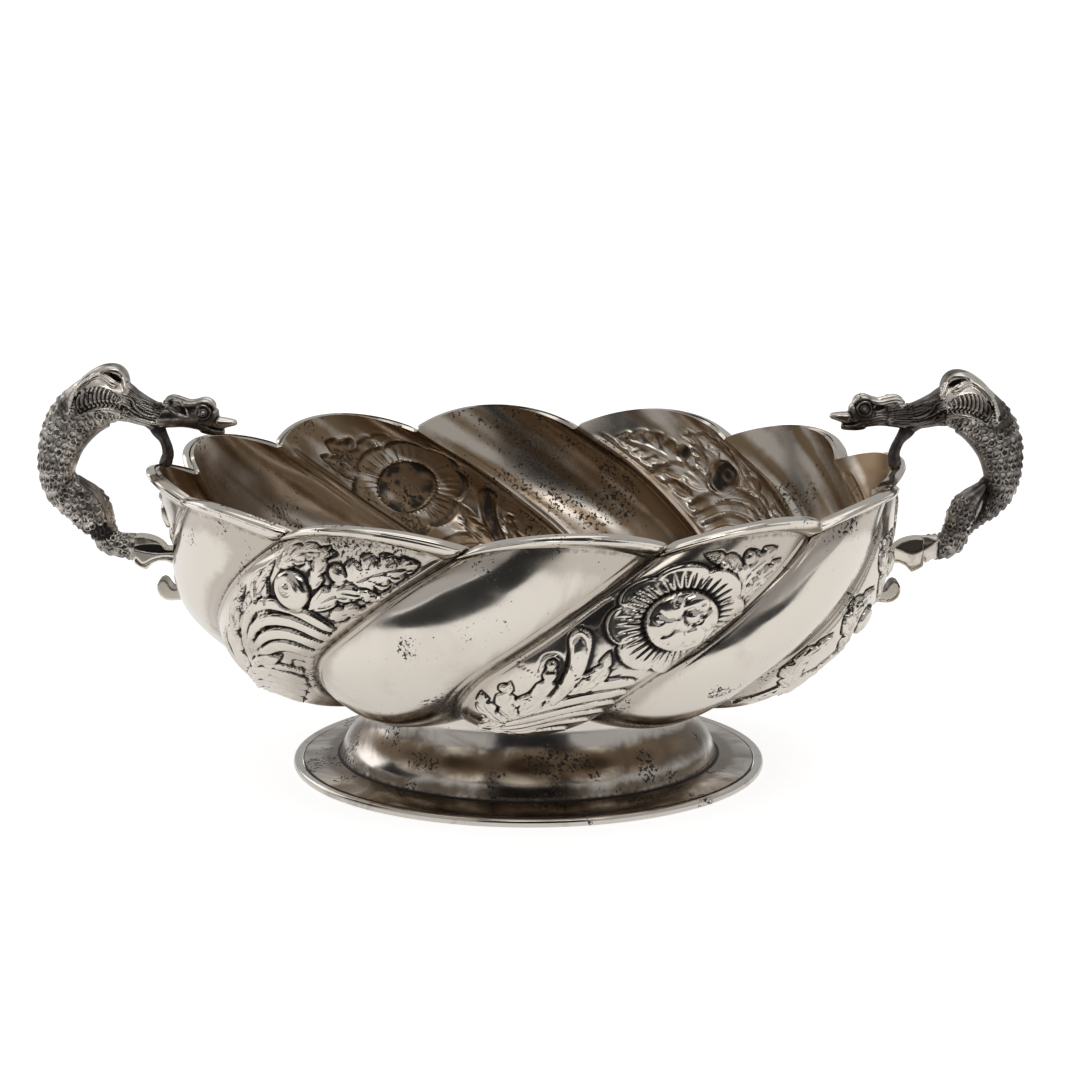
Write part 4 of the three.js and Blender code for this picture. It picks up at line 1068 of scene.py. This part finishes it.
# all limbs fused into one skin
def fuseLimbs():
    limbs = [addLimb("dragonBody", dragon["body"], 56), addLimb("dragonTail", dragon["tail"], squareEnd=True),
             addLimb("heel", dragon["heel"], squareEnd=True)]
    for name in ("upperBeak", "lowerJaw", "hump", "throat", "web", "back"):
        limbs.append(addLimb(name, dragon[name]))
    for side in (-1, 1):
        limbs += sideForms(side)
    pick(*limbs)
    bpy.ops.object.join()
    piece = rename(bpy.context.object, "rightDragon")
    pick(piece)
    bpy.ops.object.transform_apply(location=True, rotation=True, scale=True)
    voxel = dragon["voxel"] * 1
    applyModifier(piece, "REMESH", mode="VOXEL", voxel_size=voxel * mm)
    applyModifier(piece, "SMOOTH", factor=0.5, iterations=4)
    return piece


def makeDragon():
    piece = fuseLimbs()
    points, normals = pointsOf(piece), vertexValues(piece, "normal")
    out, side, up = points.T
    zones = dragonZones(points)
    # what is chased from the side: wings, feathers, neck, head
    seen = fade(np.abs(normals[:, 1]), 0.15, 0.45)
    plainSkin = seen * ~zones["tail"] * ~zones["back"] * (1 - zones["scaled"])
    field = newField(out, up)
    chaseSide(field)
    # a leaf behind the brow, on one side of the head only
    crestLeaf = newField(out, up)
    blade(crestLeaf, [(-1.0, 18.2), (-2.4, 17.4), (-4.4, 15.9), (-6.3, 14.2)], 1.7, -0.5,
          vein=0.0, edge=-0.45)
    leaf = crestLeaf["rise"] * (side > 0.5) * fade(normals[:, 1], 0.4, 0.7)
    onTailEnd = seen * (side < 0) * (out < 11.4) * (up < -18)
    face, rim, slope = (share * onTailEnd for share in lozengeFace(out, up))
    plainSkin *= np.maximum(fade(zones["rolls"], 0.55, 0.95), out > 24.2)
    rise = np.where(side < 0, 1.2, 1.0) * scales["height"] * zones["relief"]
    rise += field["rise"] * plainSkin * (1 - (side > 0) * (leaf != 0))
    rise += leaf + 0.25 * rim - 0.3 * face - 0.3 * slope
    movePoints(piece, points + normals * rise[:, None])
    paintDragon(piece, points, zones, leaf, face, rim)
    print("dragon chased,", len(piece.data.polygons), "faces")
    return piece


# strokes seen from the side, in the same out and up
def chaseSide(field):
    # wing: a dark hollow between its two rolls, feathers hanging below, cuts across the lower roll's end
    blade(field, [(12.4, 22.3), (14.4, 23.2), (17.2, 23.95), (20.4, 23.1)], 0.8, -0.9, vein=0.0, edge=0.0)
    blade(field, [(23.0, 19.4), (24.0, 17.6), (24.2, 15.4)], 0.8, -0.7, vein=0.0, edge=0.0)
    for k in range(12):
        x = 10.0 + 1.17 * k
        top, low = 20.6 - 0.085 * (x - 17.5) ** 2, 15.3 - 0.05 * (x - 16) ** 2
        blade(field, [(x + 0.3, top), (x + 0.9, top - 1.7), (x + 0.6, low + 1.5), (x - 0.5, low)], 0.5, 0.55,
              vein=0.12, widest=0.85, edge=0.42)
        boss(field, x - 0.3, low + 0.4, 0.45, 0.5)
    for k in range(9):
        y = 12.2 + 0.85 * k
        x = 25.5 - 0.05 * (y - 14) ** 2 * (y > 14)
        groove(field, [(x - 0.8, y - 0.1), (x + 0.8, y + 0.5)], 0.4, 0.18)
    # neck: long wavy strands, broken here and there
    for k in range(13):
        lift = (k - 6) * 0.53
        sway = 0.3 * math.sin(2.1 * k)
        groove(field, [(11.5, 16.8 + 1.5 * lift + sway), (7.4, 15.0 + 1.15 * lift - sway),
                       (4.0, 13.9 + 1.05 * lift + sway), (0.6 + 2 * sway, 13.4 + 0.9 * lift)], 0.42, 0.18)
        groove(field, [(2.6 + 2 * sway, 13.5 + 0.95 * lift), (-0.4, 13.5 + 0.85 * lift + sway),
                       (-3.4 - 2 * sway, 13.4 + 0.7 * lift)], 0.4, 0.18)
    blade(field, [(2.7, 13.1), (5.5, 13.8), (8.1, 15.7), (8.9, 17.4), (11.2, 18.7)], 0.5, 0.7,
          vein=0.0, edge=0.4)
    blade(field, [(1.5, 11.3), (4.5, 11.8), (8.0, 12.8), (10.5, 15.0)], 0.5, 0.6, vein=0.0, edge=0.4)
    # head: eye socket and pupil, hollow under the brow, cheek, mouth, curl behind the ear
    eyeOut, eyeUp, _ = dragon["eye"]
    away = np.hypot(field["x"] - eyeOut, field["y"] - eyeUp)
    field["rise"] -= 0.5 * bell(away, 1.5, 0.2) + 0.4 * bell(away, 2.45, 0.25)
    field["rise"] -= 0.3 * bell(away, 0.85, 0.14)
    field["rise"] += 0.3 * bell(away, 0, 0.35)
    blade(field, [(-8.2, 15.6), (-6.2, 16.1), (-4.4, 16.3)], 0.9, -0.7, vein=0.0, edge=0.0)
    groove(field, [(-19.0, 12.4), (-15.4, 11.25), (-12.0, 11.7), (-9.4, 12.3)], 0.65, 0.24)
    groove(field, [(-14.4, 14.6), (-13.9, 13.2), (-14.8, 11.8)], 0.35, 0.3)
    groove(field, [(-3.6, 15.7), (-2.2, 16.2), (-1.3, 17.1)], 0.45, 0.22)
    boss(field, 1.6, 17.0, 0.9, 0.5, ring=0.45)
    for k in range(4):
        groove(field, [(-9.6 + 0.4 * k, 12.9 - 0.75 * k), (-6.4, 13.9 - 0.8 * k), (-3.6, 13.9 - 0.85 * k)],
               0.4, 0.2)


# how low each point lies between its neighbours, from 0 for a high edge to 1 for a deep hollow
def hollowness(piece, depth, level=0.35, rounds=(4, 16)):
    points, normals = pointsOf(piece), vertexValues(piece, "normal")
    edges = np.empty(len(piece.data.edges) * 2, dtype=np.int64)
    piece.data.edges.foreach_get("vertices", edges)
    first, second = edges.reshape(-1, 2).T
    count = np.bincount(edges, minlength=len(points)).astype(float)[:, None]
    smooth, lower = points, np.zeros(len(points))
    for k in range(rounds[-1]):
        summed = np.stack([
            np.bincount(first, weights=smooth[second, axis], minlength=len(points))
            + np.bincount(second, weights=smooth[first, axis], minlength=len(points))
            for axis in range(3)], axis=1)
        smooth = 0.5 * smooth + 0.5 * summed / count
        if k + 1 in rounds:
            lower += ((smooth - points) * normals).sum(axis=1) * (1.0 if k + 1 == rounds[0] else 0.7)
    return level + lower / depth


# bends a casting towards the bowl, the more the higher it stands
def leanIn(points):
    bend = dragon["leftLean"]
    share = fade(points[:, 2], bend["from"], bend["to"])
    moved = points.copy()
    moved[:, 0] -= share * (bend["shift"] + bend["turn"] * points[:, 2])
    moved[:, 2] += share * bend["turn"] * (points[:, 0] - bend["about"])
    return moved


# copies the right handle's piece to the left, half a turn round the bowl
def castPair(piece, name, node, finish, lean=False):
    straight = pointsOf(piece)
    bent = leanIn(straight) if lean else straight
    twin = rename(bpy.data.objects.new(name, piece.data.copy()), "left" + name)
    bpy.context.collection.objects.link(twin)
    rename(piece, "right" + name)
    for cast, turn, side, points in ((piece, 1, "right", straight), (twin, -1, "left", bent)):
        movePoints(cast, (points + (dragon["out"], 0, dragon["up"])) * (turn, turn, 1))
        finishPiece(cast, f"{side}_{node}", finish, edgeAngle=0)


castPair(makeDragon(), "Dragon", "dragon", castSilver, lean=True)
print("dragons cast")


def makeStrut():
    low, high = (np.array(corner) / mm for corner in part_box("right_strut"))
    top, foot = high[2] - dragon["up"] + 1.8, low[2] - dragon["up"] + 0.15
    piece = addLimb("Strut", [
        [2.6, top, 2.4, 2.0, 0], [1.5, 9.0, 2.1, 1.9, 0], [-0.1, 6.8, 1.5, 1.5, 0], [-1.2, 4.6, 1.5, 1.5, 0],
        [-1.7, 2.6, 1.65, 1.6, 0], [-1.5, 0.9, 1.8, 1.8, 0], [-1.2, foot, 1.9, 2.0, 0],
    ], 32)
    height = pointsOf(piece)[:, 2]
    paintPoints(piece, "hollowAndShade", 0.42 + 0.3 * fade(height, 7.5, 10))
    paintPoints(piece, "tarnishAndShade", 0.45 + 0.3 * fade(height, 2, 5))
    return piece


# the bracket starts from the frame's own solid, which is rounded over
def roundedBracket(voxel=0.22, rounds=5):
    piece = rename(bpy.data.objects.new("Bracket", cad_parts["right_bracket"].data.copy()), "Bracket")
    bpy.context.collection.objects.link(piece)
    movePoints(piece, pointsOf(piece) - (dragon["out"], 0, dragon["up"]))
    weld(piece, 0.000001)
    applyModifier(piece, "REMESH", mode="VOXEL", voxel_size=voxel * mm)
    applyModifier(piece, "SMOOTH", factor=0.5, iterations=rounds)
    return piece


# one side has a dark lozenge in a thin raised line, the other a sunk fluted face between two bands
def makeBracket():
    piece = roundedBracket()
    points, normals = pointsOf(piece), vertexValues(piece, "normal")
    out, side, up = points.T
    flat = fade(np.abs(normals[:, 1]), 0.5, 0.85)
    face, rim, slope = (share * flat * (side < 0) for share in lozengeFace(out, up))
    fluted = newField(out, up)
    blade(fluted, [(-8.5, -24.6), (-2.0, -24.3), (3.0, -24.0), (8.5, -23.8)], 1.5, -0.8, vein=0.0, widest=1.0,
          edge=0.0)
    groove(fluted, [(-7.5, -24.2), (0.0, -23.9), (6.0, -23.5)], 0.25, 0.2)
    groove(fluted, [(-7.5, -25.0), (0.0, -24.7), (6.0, -24.3)], 0.25, 0.2)
    groove(fluted, [(6.4, -27.0), (4.6, -28.6), (1.6, -27.2), (-2.0, -26.5), (-6.0, -27.2)], 0.3, 0.22)
    otherSide = flat * (side > 0)
    rise = fluted["rise"] * otherSide + 0.25 * rim - 0.3 * face - 0.3 * slope
    movePoints(piece, points + normals * rise[:, None])
    sunk = np.clip(-fluted["rise"], 0, 1) * otherSide
    paintPoints(piece, "hollowAndShade", hollowness(piece, 0.9, 0.12) + 0.9 * sunk + 0.15 * face)
    # the arc's inner edge above the knob stays dark, the knob itself is rubbed bright
    arc = fade(-up, 27.5, 29.0) * fade(normals[:, 2], -0.1, 0.5)
    paintPoints(piece, "tarnishAndShade", np.maximum.reduce(
        [0.8 * np.minimum(1, 2 * sunk), 0.6 * arc, 0.9 * face, 0.45 * otherSide * fade(up, -26, -24)]))
    return piece


castPair(makeStrut(), "Strut", "strut", castSilver, lean=True)
castPair(makeBracket(), "Bracket", "bracket", bracketSilver)
print("struts and brackets fitted")


# floor, backdrop and lights
studio = {"floorTone": 0.5, "ambient": 0.5, "floorSeen": 0.8, "floorMirrored": 0.55, "worldMirrored": 0.42}

deselectAll()
bpy.ops.mesh.primitive_plane_add(size=60, location=(0, 0, 0))
floor = rename(bpy.context.object, "floor")
floorPaint, tree, shader = newMaterial("paleFloor")
fill(tree, shader, {"Base Color": [studio["floorTone"]] * 3, "Roughness": 0.9, "Specular IOR Level": 0.1})
rays = addNode(tree, "ShaderNodeLightPath").outputs
seen = mathNode(tree, "MULTIPLY", rays["Is Camera Ray"], studio["floorSeen"])
mirrored = mathNode(tree, "MULTIPLY", rays["Is Glossy Ray"], studio["floorMirrored"])
bright = mathNode(tree, "MAXIMUM", seen, mirrored)
glow = addNode(tree, "ShaderNodeEmission", {"Color": (1, 1, 1), "Strength": bright})
both = addNode(tree, "ShaderNodeAddShader", {0: shader.outputs[0], 1: glow.outputs[0]})
fill(tree, tree.nodes["Material Output"], {"Surface": both.outputs[0]})
floor.data.materials.append(floorPaint)

world = bpy.data.worlds.new("studioWorld")
bpy.context.scene.world = world
world.use_nodes = True
tree = world.node_tree
rays = addNode(tree, "ShaderNodeLightPath").outputs
dimmed = rangeNode(tree, rays["Is Glossy Ray"], 0, 1, studio["ambient"], studio["worldMirrored"])
fill(tree, tree.nodes["Background"],
     {"Color": (1, 1, 1), "Strength": rangeNode(tree, rays["Is Camera Ray"], 0, 1, dimmed, 1.0)})


def aimAt(piece, place, spot, forward):
    piece.rotation_euler = (Vector(spot) - Vector(place)).to_track_quat(forward, "Y").to_euler()


softboxes = [
    # name, place, width, height, power; all aim at the bowl
    ("topBox", (0.0, 0.25, 1.5), 1.2, 1.0, 2.8),
    ("frontBox", (0.25, -0.8, 1.35), 1.1, 0.5, 2.8),
    ("backBox", (-1.2, 0.9, 0.7), 1.1, 0.9, 3.0),
]
for name, place, width, height, power in softboxes:
    deselectAll()
    bpy.ops.object.light_add(type="AREA", location=place)
    lamp = bpy.context.object
    lamp.name = name
    lamp.data.shape = "RECTANGLE"
    lamp.data.size = width
    lamp.data.size_y = height
    lamp.data.energy = power
    aimAt(lamp, place, (0, 0, 0.05), "-Z")

# black flags: the camera doesn't see them, but the silver mirrors them as dark bands
flags = [
    # name, place, aimed at, width, height
    ("frontFlag", (0.05, -1.2, 0.5), (0, -0.1, 0.3), 1.2, 1.1),
    ("sideFlag", (-1.7, 0.0, 0.9), (0, 0, 0.1), 0.9, 0.8),
    ("tableEdge", (0.0, -0.92, 0.002), (0, -0.92, 1.0), 3.0, 1.4),
]
flagPaint, tree, shader = newMaterial("blackCloth")
fill(tree, shader, {"Base Color": (0.02, 0.02, 0.022), "Roughness": 0.95})
for name, place, spot, width, height in flags:
    deselectAll()
    bpy.ops.mesh.primitive_plane_add(size=1, location=place)
    flag = rename(bpy.context.object, name)
    flag.scale = (width, height, 1)
    aimAt(flag, place, spot, "Z")
    flag.data.materials.append(flagPaint)
    flag.visible_camera = False
    flag.visible_shadow = False
    flag.visible_diffuse = False

bpy.context.scene.view_settings.view_transform = "Standard"
print("studio lit")
